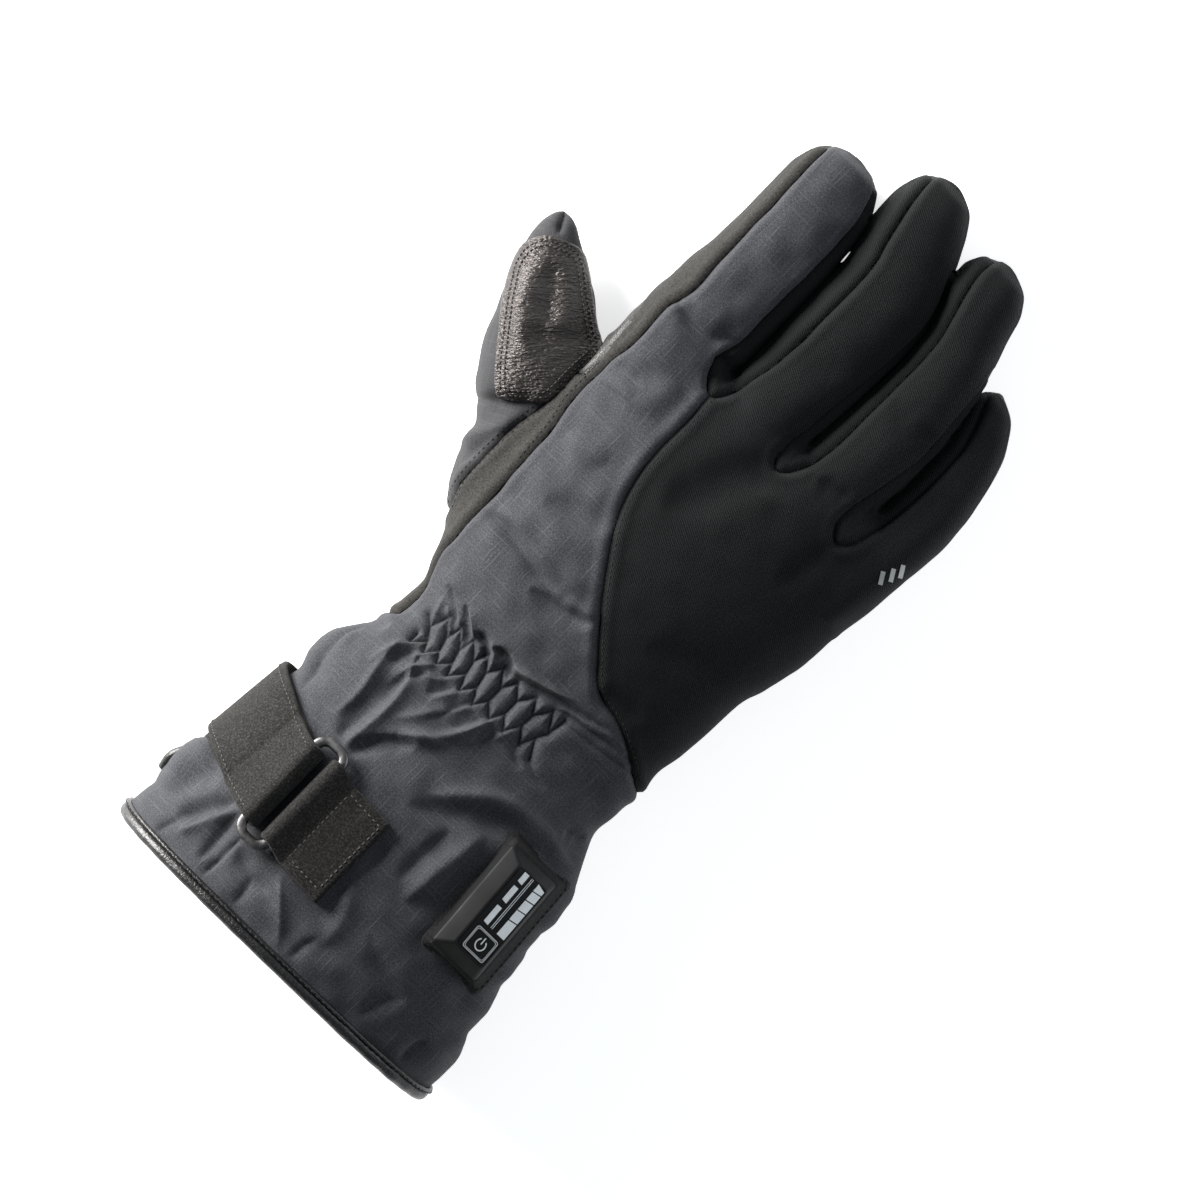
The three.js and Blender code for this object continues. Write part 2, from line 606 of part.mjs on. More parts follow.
const palmStart = GAUNTLET_LENGTH + 0.07 * PALM_LENGTH;
cutPanel('palm', [
  new THREE.Vector2(-FAR, palmStart),
  new THREE.Vector2(FAR, palmStart),
  new THREE.Vector2(FAR, beyondTips),
  new THREE.Vector2(-FAR, beyondTips),
], -1, SEAM_HEIGHT);

const { index, middle, ring, little } = FINGERS;
cutPanel('fourchette_index_middle', fourchetteOutline(index, middle), SEAM_HEIGHT + GAP, FAR);
cutPanel('fourchette_middle_ring', fourchetteOutline(middle, ring), SEAM_HEIGHT + GAP, FAR);
cutPanel('fourchette_ring_little', fourchetteOutline(ring, little), SEAM_HEIGHT + GAP, FAR);

const gussetSeam = GUSSET_SEAM.map(handPoint);
gussetSeam.push(new THREE.Vector2(gussetSeam.at(-1).x, fingerY(index, 0.9)));
cutPanel('side_gusset', strip(gussetSeam, -FAR), SEAM_HEIGHT + GAP, FAR);

const backSeam = BACK_SEAM.map(handPoint);
backSeam.unshift(new THREE.Vector2(backSeam[0].x, beyondTips));
backSeam.push(new THREE.Vector2(FAR, backSeam.at(-1).y), new THREE.Vector2(FAR, beyondTips));
cutPanel('softshell_back', backSeam, SEAM_HEIGHT + GAP, FAR);
panels.nylon_shell = main(left);

// A slab laid on the body's skin along a path, with a thickness for each share of the way
function laidSlab(path, halfWidth, thickness) {
  const across = [-1, 0, 1];
  return toSolid(loft(path.map(({ angle, y, share }) => {
    const under = across.map((side) => bodyPoint(angle, y + side * halfWidth, 0));
    const over = across.map((side) => bodyPoint(angle, y + side * halfWidth, GAP + thickness(share)));
    return [...under, ...over.reverse()];
  })));
}

// Angle of the body's back at a distance across it
function angleOver(x, y) {
  const section = rowAt(SECTIONS, 'y', y);
  const cosine = THREE.MathUtils.clamp((x - section.centre) / (section.width / 2), -1, 1);
  return Math.acos(Math.sign(cosine) * Math.abs(cosine) ** (BACK_SQUARENESS / 2));
}

// A frame that rests on the body's back: x across the glove, y along it and z out of the cloth
function restingFrame(x, y, turn, span) {
  const point = (dx, dy) => bodyPoint(angleOver(x + dx, y + dy), y + dy, 0);
  const across = point(span, 0).sub(point(-span, 0)).normalize();
  const along = point(0, span).sub(point(0, -span)).normalize();
  const out = across.clone().cross(along).normalize();
  const sideways = along.clone().cross(out);
  const frame = new THREE.Matrix4().makeBasis(sideways, along, out);
  frame.setPosition(point(0, 0));
  return frame.multiply(new THREE.Matrix4().makeRotationZ(turn));
}

function placed(geometry, frame) {
  return toSolid(geometry.clone().applyMatrix4(frame));
}

// Metal loop lying in the folds of the strap and of the tab, above one layer of strap
const loopX = LOOP_PLACE.x * HEM_WIDTH / 2;
const loopY = LOOP_PLACE.y * GAUNTLET_LENGTH;
const loopFrame = restingFrame(loopX, loopY, 0, LOOP_WIDTH / 2);
const loopLevel = 2 * GAP + STRAP_THICKNESS + LOOP_WIRE / 2;
const barOffset = (LOOP_WIDTH - LOOP_WIRE) / 2;

function roundedRectangle(width, length, radius) {
  const shape = new THREE.Shape();
  const x = width / 2;
  const y = length / 2;
  shape.moveTo(-x + radius, -y);
  shape.lineTo(x - radius, -y);
  shape.absarc(x - radius, -y + radius, radius, -Math.PI / 2, 0);
  shape.lineTo(x, y - radius);
  shape.absarc(x - radius, y - radius, radius, 0, Math.PI / 2);
  shape.lineTo(-x + radius, y);
  shape.absarc(-x + radius, y - radius, radius, Math.PI / 2, Math.PI);
  shape.lineTo(-x, -y + radius);
  shape.absarc(-x + radius, -y + radius, radius, Math.PI, 1.5 * Math.PI);
  return shape;
}

function loopGeometry() {
  const bevel = LOOP_THICKNESS / 4;
  const outline = roundedRectangle(LOOP_WIDTH - 2 * bevel, LOOP_LENGTH - 2 * bevel, LOOP_WIDTH / 3);
  const inside = roundedRectangle(
    LOOP_WIDTH - 2 * LOOP_WIRE + 2 * bevel,
    LOOP_LENGTH - 2 * LOOP_WIRE + 2 * bevel,
    LOOP_WIDTH / 3 - LOOP_WIRE / 2,
  );
  outline.holes.push(inside);
  const geometry = new THREE.ExtrudeGeometry(outline, {
    depth: LOOP_THICKNESS - 2 * bevel,
    curveSegments: 3,
    bevelSize: bevel,
    bevelThickness: bevel,
    bevelSegments: 1,
  });
  geometry.translate(0, 0, loopLevel - LOOP_THICKNESS / 2 + bevel);
  return geometry;
}

// Fold of strap round a bar of the loop: a tear drop with its tail on the cloth and a channel for the bar
function foldSolid(side, width, tail) {
  const channel = LOOP_WIRE / 2 + 2 * GAP;
  const radius = channel + STRAP_THICKNESS;
  const steps = 10;
  const outline = [
    new THREE.Vector2(-tail, -radius + 2 * STRAP_THICKNESS),
    new THREE.Vector2(-tail, -radius),
  ];
  for (let i = 0; i <= steps; i += 1) {
    const angle = -Math.PI / 2 + FOLD_WRAP * i / steps;
    outline.push(new THREE.Vector2(radius * Math.cos(angle), radius * Math.sin(angle)));
  }
  const drop = new THREE.Shape(outline);
  drop.holes.push(new THREE.Path().absarc(0, 0, channel / Math.cos(Math.PI / 12), 0, 2 * Math.PI));
  const geometry = new THREE.ExtrudeGeometry(drop, { depth: width, curveSegments: 6, bevelEnabled: false });
  geometry.translate(0, 0, -width / 2);
  geometry.rotateX(Math.PI / 2);
  if (side > 0) geometry.rotateZ(Math.PI);
  geometry.translate(side * barOffset, 0, loopLevel);
  return placed(geometry, loopFrame);
}

const foldTail = FOLD_TAIL * LOOP_WIRE;

// A strap laid round the body from the loop, by equal steps of its own length
function strapPath(direction, length, climb) {
  const path = [];
  const steps = Math.ceil(length / (RING_STEP * 0.8));
  const step = length / steps;
  let angle = angleOver(loopX + direction * (barOffset + 1.5 * LOOP_WIRE), loopY);
  let y = loopY;
  for (let i = 0; i <= steps; i += 1) {
    path.push({ angle, y, share: i / steps });
    const nudge = 0.01;
    const speed = bodyPoint(angle + nudge, y, 0).distanceTo(bodyPoint(angle - nudge, y, 0)) / (2 * nudge);
    angle -= direction * step / speed;
    y += climb * step;
  }
  return path;
}

const strapSlab = laidSlab(
  strapPath(-1, STRAP_REACH, STRAP_CLIMB),
  STRAP_WIDTH / 2,
  (share) => STRAP_THICKNESS * (share < STRAP_DOUBLED ? 2 : 1),
);
const strap = main(together([strapSlab, foldSolid(-1, STRAP_WIDTH, foldTail)])
  .subtract(clearSkin)
  .intersect(floorBlock));

const tabSlab = laidSlab(strapPath(1, TAB_LENGTH, 0), STRAP_WIDTH / 2, () => 2 * STRAP_THICKNESS);
const tab = main(together([tabSlab, foldSolid(1, STRAP_WIDTH, foldTail)]).subtract(clearSkin));

// Heat control on its stitched backing: a housing with wide bevels and a face let into it
const controlX = CONTROL_PLACE.x * HEM_WIDTH / 2;
const controlY = CONTROL_PLACE.y * GAUNTLET_LENGTH;
const controlFrame = restingFrame(controlX, controlY, CONTROL_TURN, CONTROL_WIDTH / 2);
const backingTop = GAP + PATCH_THICKNESS;

function frustum(levels) {
  return loft(levels.map(({ inset, z }) => {
    const shape = roundedRectangle(CONTROL_WIDTH - 2 * inset, CONTROL_LENGTH - 2 * inset, CONTROL_CORNER);
    return shape.getPoints(2).slice(0, -1).map((point) => new THREE.Vector3(point.x, point.y, z));
  }));
}

const backingOutline = roundedRectangle(
  CONTROL_WIDTH + 2 * CONTROL_BORDER,
  CONTROL_LENGTH + 2 * CONTROL_BORDER,
  CONTROL_BORDER,
);
const backingBlock = new THREE.ExtrudeGeometry(backingOutline, {
  depth: 2 * HEM_HEIGHT / 3,
  curveSegments: 3,
  bevelEnabled: false,
});
backingBlock.translate(0, 0, -HEM_HEIGHT / 3);
const backing = main(bodySolid(backingTop).subtract(clearSkin).intersect(placed(backingBlock, controlFrame)));

const housingTop = backingTop + GAP + CONTROL_HEIGHT;
const housingRaw = placed(frustum([
  { inset: 0, z: -CONTROL_HEIGHT },
  { inset: 0, z: backingTop + CONTROL_HEIGHT / 4 },
  { inset: CONTROL_BEVEL, z: housingTop },
]), controlFrame);
const faceInset = CONTROL_BEVEL + FACE_MARGIN;
const faceRecess = placed(frustum([
  { inset: faceInset - GAP, z: housingTop - FACE_THICKNESS },
  { inset: faceInset - GAP, z: housingTop + FACE_THICKNESS },
]), controlFrame);
const housing = main(housingRaw.subtract(bodySolid(backingTop + GAP)).subtract(faceRecess));
const face = placed(frustum([
  { inset: faceInset, z: housingTop - FACE_THICKNESS + GAP },
  { inset: faceInset, z: housingTop + GAP },
]), controlFrame);

// Leather patch laid on the upper side of the thumb, clear of the hand
const patchOutline = THUMB_PATCH.map((point) => {
  const place = thumbPoint(point.along * THUMB_LENGTH, point.out * THUMB_WIDTH / 2);
  return new THREE.Vector2(place.x, place.y);
});
const thumbSide = strip(thumbSeam, -FAR);
const patch = main(thumbSolid(GAP + PATCH_THICKNESS)
  .subtract(clearSkin)
  .intersect(prism(patchOutline, THUMB_THICKNESS / 2, FAR))
  .intersect(prism(grown(thumbSide, -SEAM_MARGIN), 0, FAR)));

// Leather binding: a channel round the edge of the hem
function hemRings(offset, low, high) {
  const angles = bodyAngles(offset);
  return toSolid(loft([low, high].map((place) => angles.map((angle) => {
    const point = bodyPoint(angle, Math.max(place, 0), offset);
    point.y += Math.min(place, 0);
    return point;
  }))));
}

const bindingEdge = -BINDING_WIDTH / 2;
const hemEdge = bodySolid(GAP).subtract(bodySolid(-WALL - GAP));
const binding = main(hemRings(BINDING_THICKNESS + GAP, bindingEdge, BINDING_WIDTH + bindingEdge)
  .subtract(hemRings(-WALL - BINDING_THICKNESS - GAP, bindingEdge - GAP, BINDING_WIDTH))
  .subtract(hemEdge)
  .intersect(floorBlock));

// Materials
const MATERIALS = {
  nylon: { color: 0x4d545c, roughness: 0.85, metalness: 0 },
  softshell: { color: 0x1f2223, roughness: 0.8, metalness: 0 },
  stretch: { color: 0x47443f, roughness: 0.9, metalness: 0 },
  leather: { color: 0x221f1e, roughness: 0.42, metalness: 0 },
  thumbCloth: { color: 0x3a383a, roughness: 0.85, metalness: 0 },
  suede: { color: 0x383530, roughness: 0.95, metalness: 0 },
  metal: { color: 0x6f6a64, roughness: 0.35, metalness: 1 },
  rubber: { color: 0x1c1d1f, roughness: 0.55, metalness: 0 },
  gloss: { color: 0x17181a, roughness: 0.35, metalness: 0 },
};

const glove = new THREE.Group();

function addPiece(name, solid, material) {
  const mesh = new THREE.Mesh(toGeometry(solid), new THREE.MeshStandardMaterial(MATERIALS[material]));
  mesh.name = name;
  glove.add(mesh);
}

addPiece('nylon_shell', panels.nylon_shell, 'nylon');
addPiece('softshell_back', panels.softshell_back, 'softshell');
addPiece('palm', panels.palm, 'leather');
addPiece('side_gusset', panels.side_gusset, 'stretch');
addPiece('fourchette_index_middle', panels.fourchette_index_middle, 'softshell');
addPiece('fourchette_middle_ring', panels.fourchette_middle_ring, 'softshell');
addPiece('fourchette_ring_little', panels.fourchette_ring_little, 'softshell');
addPiece('thumb', panels.thumb, 'thumbCloth');
addPiece('thumb_patch', patch, 'leather');
addPiece('hem_binding', binding, 'leather');
addPiece('strap', strap, 'suede');
addPiece('strap_loop', placed(loopGeometry(), loopFrame), 'metal');
addPiece('strap_tab', tab, 'suede');
addPiece('control_backing', backing, 'nylon');
addPiece('control_housing', housing, 'rubber');
addPiece('control_face', face, 'gloss');

// The origin is under the middle of the whole glove, on the surface that it lies on
const box = new THREE.Box3().setFromObject(glove);
const centre = box.getCenter(new THREE.Vector3());
glove.position.set(-centre.x, -centre.y, -box.min.z);
glove.updateMatrixWorld(true);

export default glove;
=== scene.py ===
# Heated gauntlet glove lying on its palm: its skins, trims, stitches and finishes, in the model's frame.
import math

import bpy
import numpy as np
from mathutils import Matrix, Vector
from mathutils.bvhtree import BVHTree
from mathutils.kdtree import KDTree


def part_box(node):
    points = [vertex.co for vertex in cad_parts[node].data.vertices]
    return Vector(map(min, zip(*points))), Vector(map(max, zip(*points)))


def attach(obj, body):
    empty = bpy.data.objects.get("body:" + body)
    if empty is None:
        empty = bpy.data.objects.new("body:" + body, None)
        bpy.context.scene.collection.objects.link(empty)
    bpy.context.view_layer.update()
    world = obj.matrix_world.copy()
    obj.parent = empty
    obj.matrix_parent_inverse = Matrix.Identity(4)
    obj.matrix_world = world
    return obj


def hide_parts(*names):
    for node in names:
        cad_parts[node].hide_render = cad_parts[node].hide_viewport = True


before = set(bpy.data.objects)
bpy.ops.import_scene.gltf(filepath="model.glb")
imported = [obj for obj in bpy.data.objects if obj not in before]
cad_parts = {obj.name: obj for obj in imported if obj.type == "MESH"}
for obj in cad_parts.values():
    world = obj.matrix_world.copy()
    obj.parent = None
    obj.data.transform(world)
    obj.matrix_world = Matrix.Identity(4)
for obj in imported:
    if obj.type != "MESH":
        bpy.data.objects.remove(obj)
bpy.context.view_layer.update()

# The script works in the glove's own millimetres: x to the little finger, y from the hem to the fingertips,
# z up from the table, with the origin under the middle of the hem.
MM = 0.001
# Distances of the hem binding's middle and edge from the origin
HEM_LEAN = 1.98
HEM_EDGE = 2.6
hem_low, hem_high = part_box("hem_binding")
ORIGIN = np.array([(hem_low.x + hem_high.x) / 2 - HEM_LEAN * MM, hem_low.y + HEM_EDGE * MM, 0.0])

# Grids that the skin and the lining are traced on: their steps, the padding between them, and their corners
VOXEL = 0.82
LINING_VOXEL = 2.2
WALL = 4.0
GRID_LOW = np.array([-104.0, -10.0, -3.0])
GRID_HIGH = np.array([76.0, 335.0, 68.0])

# Roundness of the sections on the back and under the palm, and where they are widest
BACK_SQUARENESS = 2.15
PALM_SQUARENESS = 3.0
FINGER_SQUARENESS = 2.4
WIDEST_LEVEL = 0.42

# Round ends of the fingers and thumb, and the soft joins of the limbs and of the palm with the table
TIP_ROUNDING = 5.0
LIMB_BLEND = 5.0
FLOOR_BLEND = 2.0

# Seed of the cloth's and the binding's unevenness
SEED = 11


def table(names, *rows):
    """Columns by name, from rows."""
    return {name: np.array(column, float) for name, column in zip(names.split(), zip(*rows))}


# Sections of the gauntlet and hand
BODY = table(
    "y left right top low",
    (-12, -64.2, 67.6, 58.5, 1.0),
    (0, -64.6, 68.2, 60.0, 1.2),
    (10, -64.6, 68.8, 62.0, 1.8),
    (20, -63.0, 67.2, 62.6, 2.4),
    (32, -60.6, 64.4, 61.6, 2.8),
    (50, -58.4, 61.6, 60.0, 3.5),
    (62, -57.2, 60.2, 58.5, 4.0),
    (72, -55.8, 58.6, 57.0, 4.4),
    (85, -55.0, 55.8, 53.4, 4.7),
    (93, -52.6, 51.8, 49.8, 4.8),
    (100, -49.6, 49.9, 46.4, 4.6),
    (109, -47.4, 50.3, 44.2, 4.4),
    (118, -46.6, 51.7, 45.2, 4.0),
    (126, -49.6, 51.0, 47.2, 3.0),
    (136, -53.4, 52.8, 48.6, 1.5),
    (149, -57.0, 53.8, 49.6, -0.5),
    (160, -58.2, 54.4, 50.0, -1.2),
    (170, -58.4, 57.4, 49.8, -1.5),
    (185, -58.4, 60.8, 49.0, -1.3),
    (200, -58.4, 61.8, 48.0, -0.5),
    (213, -57.9, 63.0, 46.8, 1.5),
    (223, -57.3, 62.6, 44.6, 5.0),
    (229, -55.5, 60.0, 40.5, 10.0),
    (234, -50.0, 54.0, 33.0, 17.0),
)

# Sections of the fingers
FINGERS = {
    "index": table(
        "y left right top low",
        (206, -52.5, -22.0, 42.0, 6.0),
        (220, -56.6, -19.6, 43.0, 5.0),
        (238, -58.0, -19.8, 40.6, 4.2),
        (250, -57.4, -20.0, 38.0, 3.6),
        (266, -55.6, -20.0, 34.4, 2.2),
        (277, -55.0, -20.3, 31.8, 1.2),
        (287, -54.9, -21.3, 30.2, 0.6),
        (298, -55.0, -22.0, 28.4, 0.0),
        (304, -53.8, -24.4, 27.2, 0.4),
        (309, -51.4, -27.2, 25.2, 2.0),
        (312.4, -48.4, -29.6, 22.6, 4.6),
        (314.2, -45.0, -32.5, 18.5, 8.5),
    ),
    "middle": table(
        "y left right top low",
        (206, -15.0, 7.0, 43.0, 6.0),
        (220, -19.4, 11.4, 43.6, 5.6),
        (238, -20.6, 13.0, 41.4, 5.6),
        (250, -20.2, 14.0, 38.6, 5.0),
        (265, -20.7, 14.6, 35.4, 3.8),
        (277, -20.7, 15.0, 33.0, 2.6),
        (287, -20.4, 14.8, 31.0, 1.6),
        (293, -21.5, 14.0, 30.2, 1.0),
        (299, -22.8, 12.4, 29.2, 0.5),
        (306, -24.2, 9.4, 28.2, 0.1),
        (313, -24.6, 6.0, 27.2, 0.1),
        (320, -23.2, 2.4, 25.6, 1.0),
        (326, -20.4, -1.8, 22.8, 3.6),
        (330.2, -15.6, -6.6, 17.5, 8.2),
    ),
    "ring": table(
        "y left right top low",
        (206, 15.0, 38.0, 42.0, 6.0),
        (220, 11.4, 41.4, 42.8, 5.4),
        (238, 11.8, 43.0, 40.2, 5.2),
        (250, 13.0, 44.3, 37.6, 4.8),
        (262, 14.4, 44.4, 34.8, 3.6),
        (276, 15.2, 43.0, 32.0, 2.4),
        (289, 14.4, 40.4, 29.6, 0.9),
        (299, 11.2, 37.4, 28.0, 0.2),
        (307, 8.0, 34.9, 27.2, 0.0),
        (313, 8.1, 33.2, 25.8, 0.6),
        (319, 10.4, 29.4, 23.0, 3.0),
        (323.2, 15.4, 23.6, 17.6, 8.0),
    ),
    "little": table(
        "y left right top low",
        (200, 45.0, 60.0, 36.0, 7.0),
        (212, 42.4, 63.0, 37.0, 6.0),
        (228, 42.2, 65.6, 34.6, 5.4),
        (241, 42.8, 66.8, 31.4, 4.2),
        (252, 43.0, 66.4, 28.6, 2.8),
        (264, 42.4, 64.6, 25.6, 1.0),
        (275, 41.0, 61.6, 23.4, 0.0),
        (283, 40.4, 57.6, 21.8, 0.6),
        (288.4, 41.4, 53.0, 19.4, 2.8),
        (291.4, 43.8, 48.4, 15.4, 7.0),
    ),
}

# Sections of the thumb along its own axis, measured outwards and inwards from it
THUMB_ROOT = np.array([-46.0, 146.0])
THUMB_ANGLE = math.radians(29.5)
THUMB_AXIS = np.array([-math.sin(THUMB_ANGLE), math.cos(THUMB_ANGLE)])
THUMB_OUT = np.array([-math.cos(THUMB_ANGLE), -math.sin(THUMB_ANGLE)])
THUMB = table(
    "y left right top low",
    (-18, -2.0, 3.0, 26.0, 6.0),
    (-8, -8.0, 8.0, 29.0, 3.6),
    (2, -14.0, 12.4, 31.0, 2.0),
    (12, -18.0, 13.8, 31.4, 1.4),
    (22, -20.5, 13.0, 30.8, 1.2),
    (30, -22.6, 10.4, 29.4, 1.0),
    (36, -23.6, 11.8, 29.2, 0.4),
    (45, -24.2, 14.0, 29.4, 0.0),
    (58, -23.2, 14.5, 28.4, 0.0),
    (69, -20.2, 13.1, 26.6, 0.2),
    (80, -15.8, 11.8, 24.0, 1.0),
    (90, -10.6, 9.6, 20.8, 3.2),
    (98, -6.4, 6.4, 17.8, 5.8),
    (103.6, -3.0, 3.0, 14.8, 8.6),
)


def curve_value(knots, values, at):
    """Values on a smooth curve through knots that doesn't overshoot them."""
    step = np.diff(knots)
    slope = np.diff(values) / step
    tangent = np.zeros(len(knots))
    tangent[0], tangent[-1] = slope[0], slope[-1]
    same = slope[:-1] * slope[1:] > 0
    before, after = 2 * step[1:] + step[:-1], step[1:] + 2 * step[:-1]
    safe = np.where(same[:, None], np.stack([slope[:-1], slope[1:]], 1), 1.0)
    tangent[1:-1] = np.where(same, (before + after) / (before / safe[:, 0] + after / safe[:, 1]), 0)
    i = np.clip(np.searchsorted(knots, at) - 1, 0, len(knots) - 2)
    t = np.clip((at - knots[i]) / step[i], 0, 1)
    start, end = values[i], values[i + 1]
    bend_start, bend_end = tangent[i] * step[i], tangent[i + 1] * step[i]
    t2, t3 = t * t, t * t * t
    return ((2 * t3 - 3 * t2 + 1) * start + (t3 - 2 * t2 + t) * bend_start
            + (3 * t2 - 2 * t3) * end + (t3 - t2) * bend_end)


def section(limb, at):
    """Centre, half width, widest level, and reach up and down of a limb's sections."""
    left, right, top, low = (curve_value(limb["y"], limb[k], at) for k in ("left", "right", "top", "low"))
    widest = low + WIDEST_LEVEL * (top - low)
    return (left + right) / 2, (right - left) / 2, widest, top - widest, widest - low


def unit(vectors):
    """Vectors made one long."""
    return vectors / np.linalg.norm(vectors, axis=-1, keepdims=True)


def smooth_min(one, other, reach):
    """The lesser of two values, rounded over where they are about equal."""
    nearness = np.maximum(reach - np.abs(one - other), 0) / reach
    return np.minimum(one, other) - nearness ** 2 * reach / 4


def section_ratio(dx, dz, half, reach, squareness):
    """How far out a place lies from the middle of a rounded section: 1 on its edge."""
    return (np.abs(dx / half) ** squareness + np.abs(dz / reach) ** squareness) ** (1 / squareness)


def limb_field(limb, along, across, z, squareness_up, squareness_down, tip=0.0):
    """Rough distance outside a limb, less than zero inside. Its end is rounded over the length of tip."""
    centre, half, widest, up, down = section(limb, along)
    if tip:
        shrink = np.sqrt(1 - 0.98 * np.clip(1 - (limb["y"][-1] - along) / tip, 0, 1) ** 2)
        half, up, down = half * shrink, up * shrink, down * shrink
    dx, dz = across - centre, z - widest
    top = section_ratio(dx, dz, half, up, squareness_up)
    low = section_ratio(dx, dz, half, down, squareness_down)
    ratio = np.maximum(np.where(dz > 0, top, low), 1e-3)
    distance = np.sqrt(dx * dx + dz * dz) * (1 - 1 / ratio)
    return np.maximum(distance, along - limb["y"][-1])


def thumb_coordinates(x, y):
    """Places along the thumb's axis and outwards from it."""
    dx, dy = x - THUMB_ROOT[0], y - THUMB_ROOT[1]
    return dx * THUMB_AXIS[0] + dy * THUMB_AXIS[1], dx * THUMB_OUT[0] + dy * THUMB_OUT[1]


def glove_field(x, y, z):
    """Rough distance outside the glove's skin."""
    body = limb_field(BODY, y, x, z, BACK_SQUARENESS, PALM_SQUARENESS)
    along, out = thumb_coordinates(x, y)
    thumb = limb_field(THUMB, along, out, z, FINGER_SQUARENESS, FINGER_SQUARENESS, TIP_ROUNDING)
    thumb = np.maximum(thumb, THUMB["y"][0] - along)
    whole = smooth_min(body, thumb, LIMB_BLEND)
    for limb in FINGERS.values():
        finger = limb_field(limb, y, x, z, FINGER_SQUARENESS, FINGER_SQUARENESS, TIP_ROUNDING)
        finger = np.maximum(finger, limb["y"][0] - y)
        whole = np.minimum(whole, smooth_min(body, finger, LIMB_BLEND))
    return -smooth_min(-whole, z, FLOOR_BLEND)


def traced_surface(field, low, step):
    """Vertices and faces of the surface where a field on a grid is zero."""
    inside = field < 0
    shape = np.array(field.shape) - 1
    corners = [(i, j, k) for i in (0, 1) for j in (0, 1) for k in (0, 1)]
    count = sum(inside[i:shape[0] + i, j:shape[1] + j, k:shape[2] + k].astype(np.int8)
                for i, j, k in corners)
    cells = np.argwhere((count > 0) & (count < 8))
    number = np.full(shape, -1, dtype=np.int64)
    number[tuple(cells.T)] = np.arange(len(cells))
    total = np.zeros((len(cells), 3))
    hits = np.zeros(len(cells))
    for start in corners:
        for axis in range(3):
            if start[axis]:
                continue
            end = tuple(1 if n == axis else s for n, s in enumerate(start))
            a = field[tuple((cells + start).T)]
            b = field[tuple((cells + end).T)]
            crosses = (a < 0) != (b < 0)
            share = np.where(crosses, a / np.where(crosses, a - b, 1), 0)
            point = np.array(start, float)[None, :] + share[:, None] * (np.array(end) - np.array(start))
            total += point * crosses[:, None]
            hits += crosses
    points = low + (cells + total / hits[:, None]) * step
    faces = []
    for axis in range(3):
        one, two = (axis + 1) % 3, (axis + 2) % 3
        size = np.array(field.shape)
        size[axis] -= 1
        near = inside[tuple(slice(0, s) for s in size)]
        far = inside[tuple(slice(1, s + 1) if n == axis else slice(0, s) for n, s in enumerate(size))]
        edges = np.argwhere(near != far)
        edges = edges[(edges[:, one] > 0) & (edges[:, two] > 0)
                      & (edges[:, one] < shape[one]) & (edges[:, two] < shape[two])]
        shifts = np.zeros((4, 3), int)
        shifts[1, one] = shifts[2, one] = shifts[2, two] = shifts[3, two] = -1
        quad = np.stack([number[tuple((edges + shift).T)] for shift in shifts], axis=1)
        leaving = near[tuple(edges.T)]
        quad[~leaving] = quad[~leaving][:, ::-1]
        faces.append(quad)
    quads = np.concatenate(faces)
    shorter = (np.linalg.norm(points[quads[:, 0]] - points[quads[:, 2]], axis=1)
               <= np.linalg.norm(points[quads[:, 1]] - points[quads[:, 3]], axis=1))
    first = np.where(shorter[:, None], quads[:, [0, 1, 2]], quads[:, [0, 1, 3]])
    second = np.where(shorter[:, None], quads[:, [0, 2, 3]], quads[:, [1, 2, 3]])
    return points, np.concatenate([first, second])


def traced_skin(step, inset):
    """The glove's surface, or one inside it by an inset."""
    axes = [np.arange(low, high, step) for low, high in zip(GRID_LOW, GRID_HIGH)]
    x, y, z = (axes[0][:, None, None], axes[1][None, :, None], axes[2][None, None, :])
    return traced_surface(glove_field(x, y, z) + inset, GRID_LOW, step)


def vertex_normals(points, faces):
    a, b, c = (points[faces[:, i]] for i in range(3))
    face = np.cross(b - a, c - a)
    normals = np.zeros_like(points)
    for i in range(3):
        for axis in range(3):
            normals[:, axis] += np.bincount(faces[:, i], face[:, axis], len(points))
    return normals / np.maximum(np.linalg.norm(normals, axis=1), 1e-12)[:, None]


def split(mesh, value):
    """Both sides of a mesh, cut where a value of its vertices is zero: above it, and below."""
    data, faces = mesh
    value = np.where(np.abs(value) < 1e-5, 1e-5, value)
    above = value[faces] > 0
    count = above.sum(1)
    crossed = (count == 1) | (count == 2)
    cut, lone_above = faces[crossed], count[crossed] == 1
    lone = np.argmax(above[crossed] == lone_above[:, None], axis=1)
    a, b, c = (cut[np.arange(len(cut)), (lone + n) % 3] for n in range(3))
    pairs = np.concatenate([np.stack([a, b], 1), np.stack([a, c], 1)])
    _, first, back = np.unique(np.sort(pairs, 1) @ [1 << 32, 1], return_index=True, return_inverse=True)
    back = back.reshape(-1)
    one, two = pairs[first, 0], pairs[first, 1]
    share = (value[one] / (value[one] - value[two]))[:, None]
    data = np.concatenate([data, data[one] * (1 - share) + data[two] * share])
    ab, ac = np.split(back + len(value), 2)
    alone = np.stack([a, ab, ac], 1)
    others = [np.stack([ab, b, c], 1), np.stack([ab, c, ac], 1)]
    upper = [faces[count == 3], alone[lone_above]] + [f[~lone_above] for f in others]
    lower = [faces[count == 0], alone[~lone_above]] + [f[lone_above] for f in others]
    return [compact(data, np.concatenate(side)) for side in (upper, lower)]


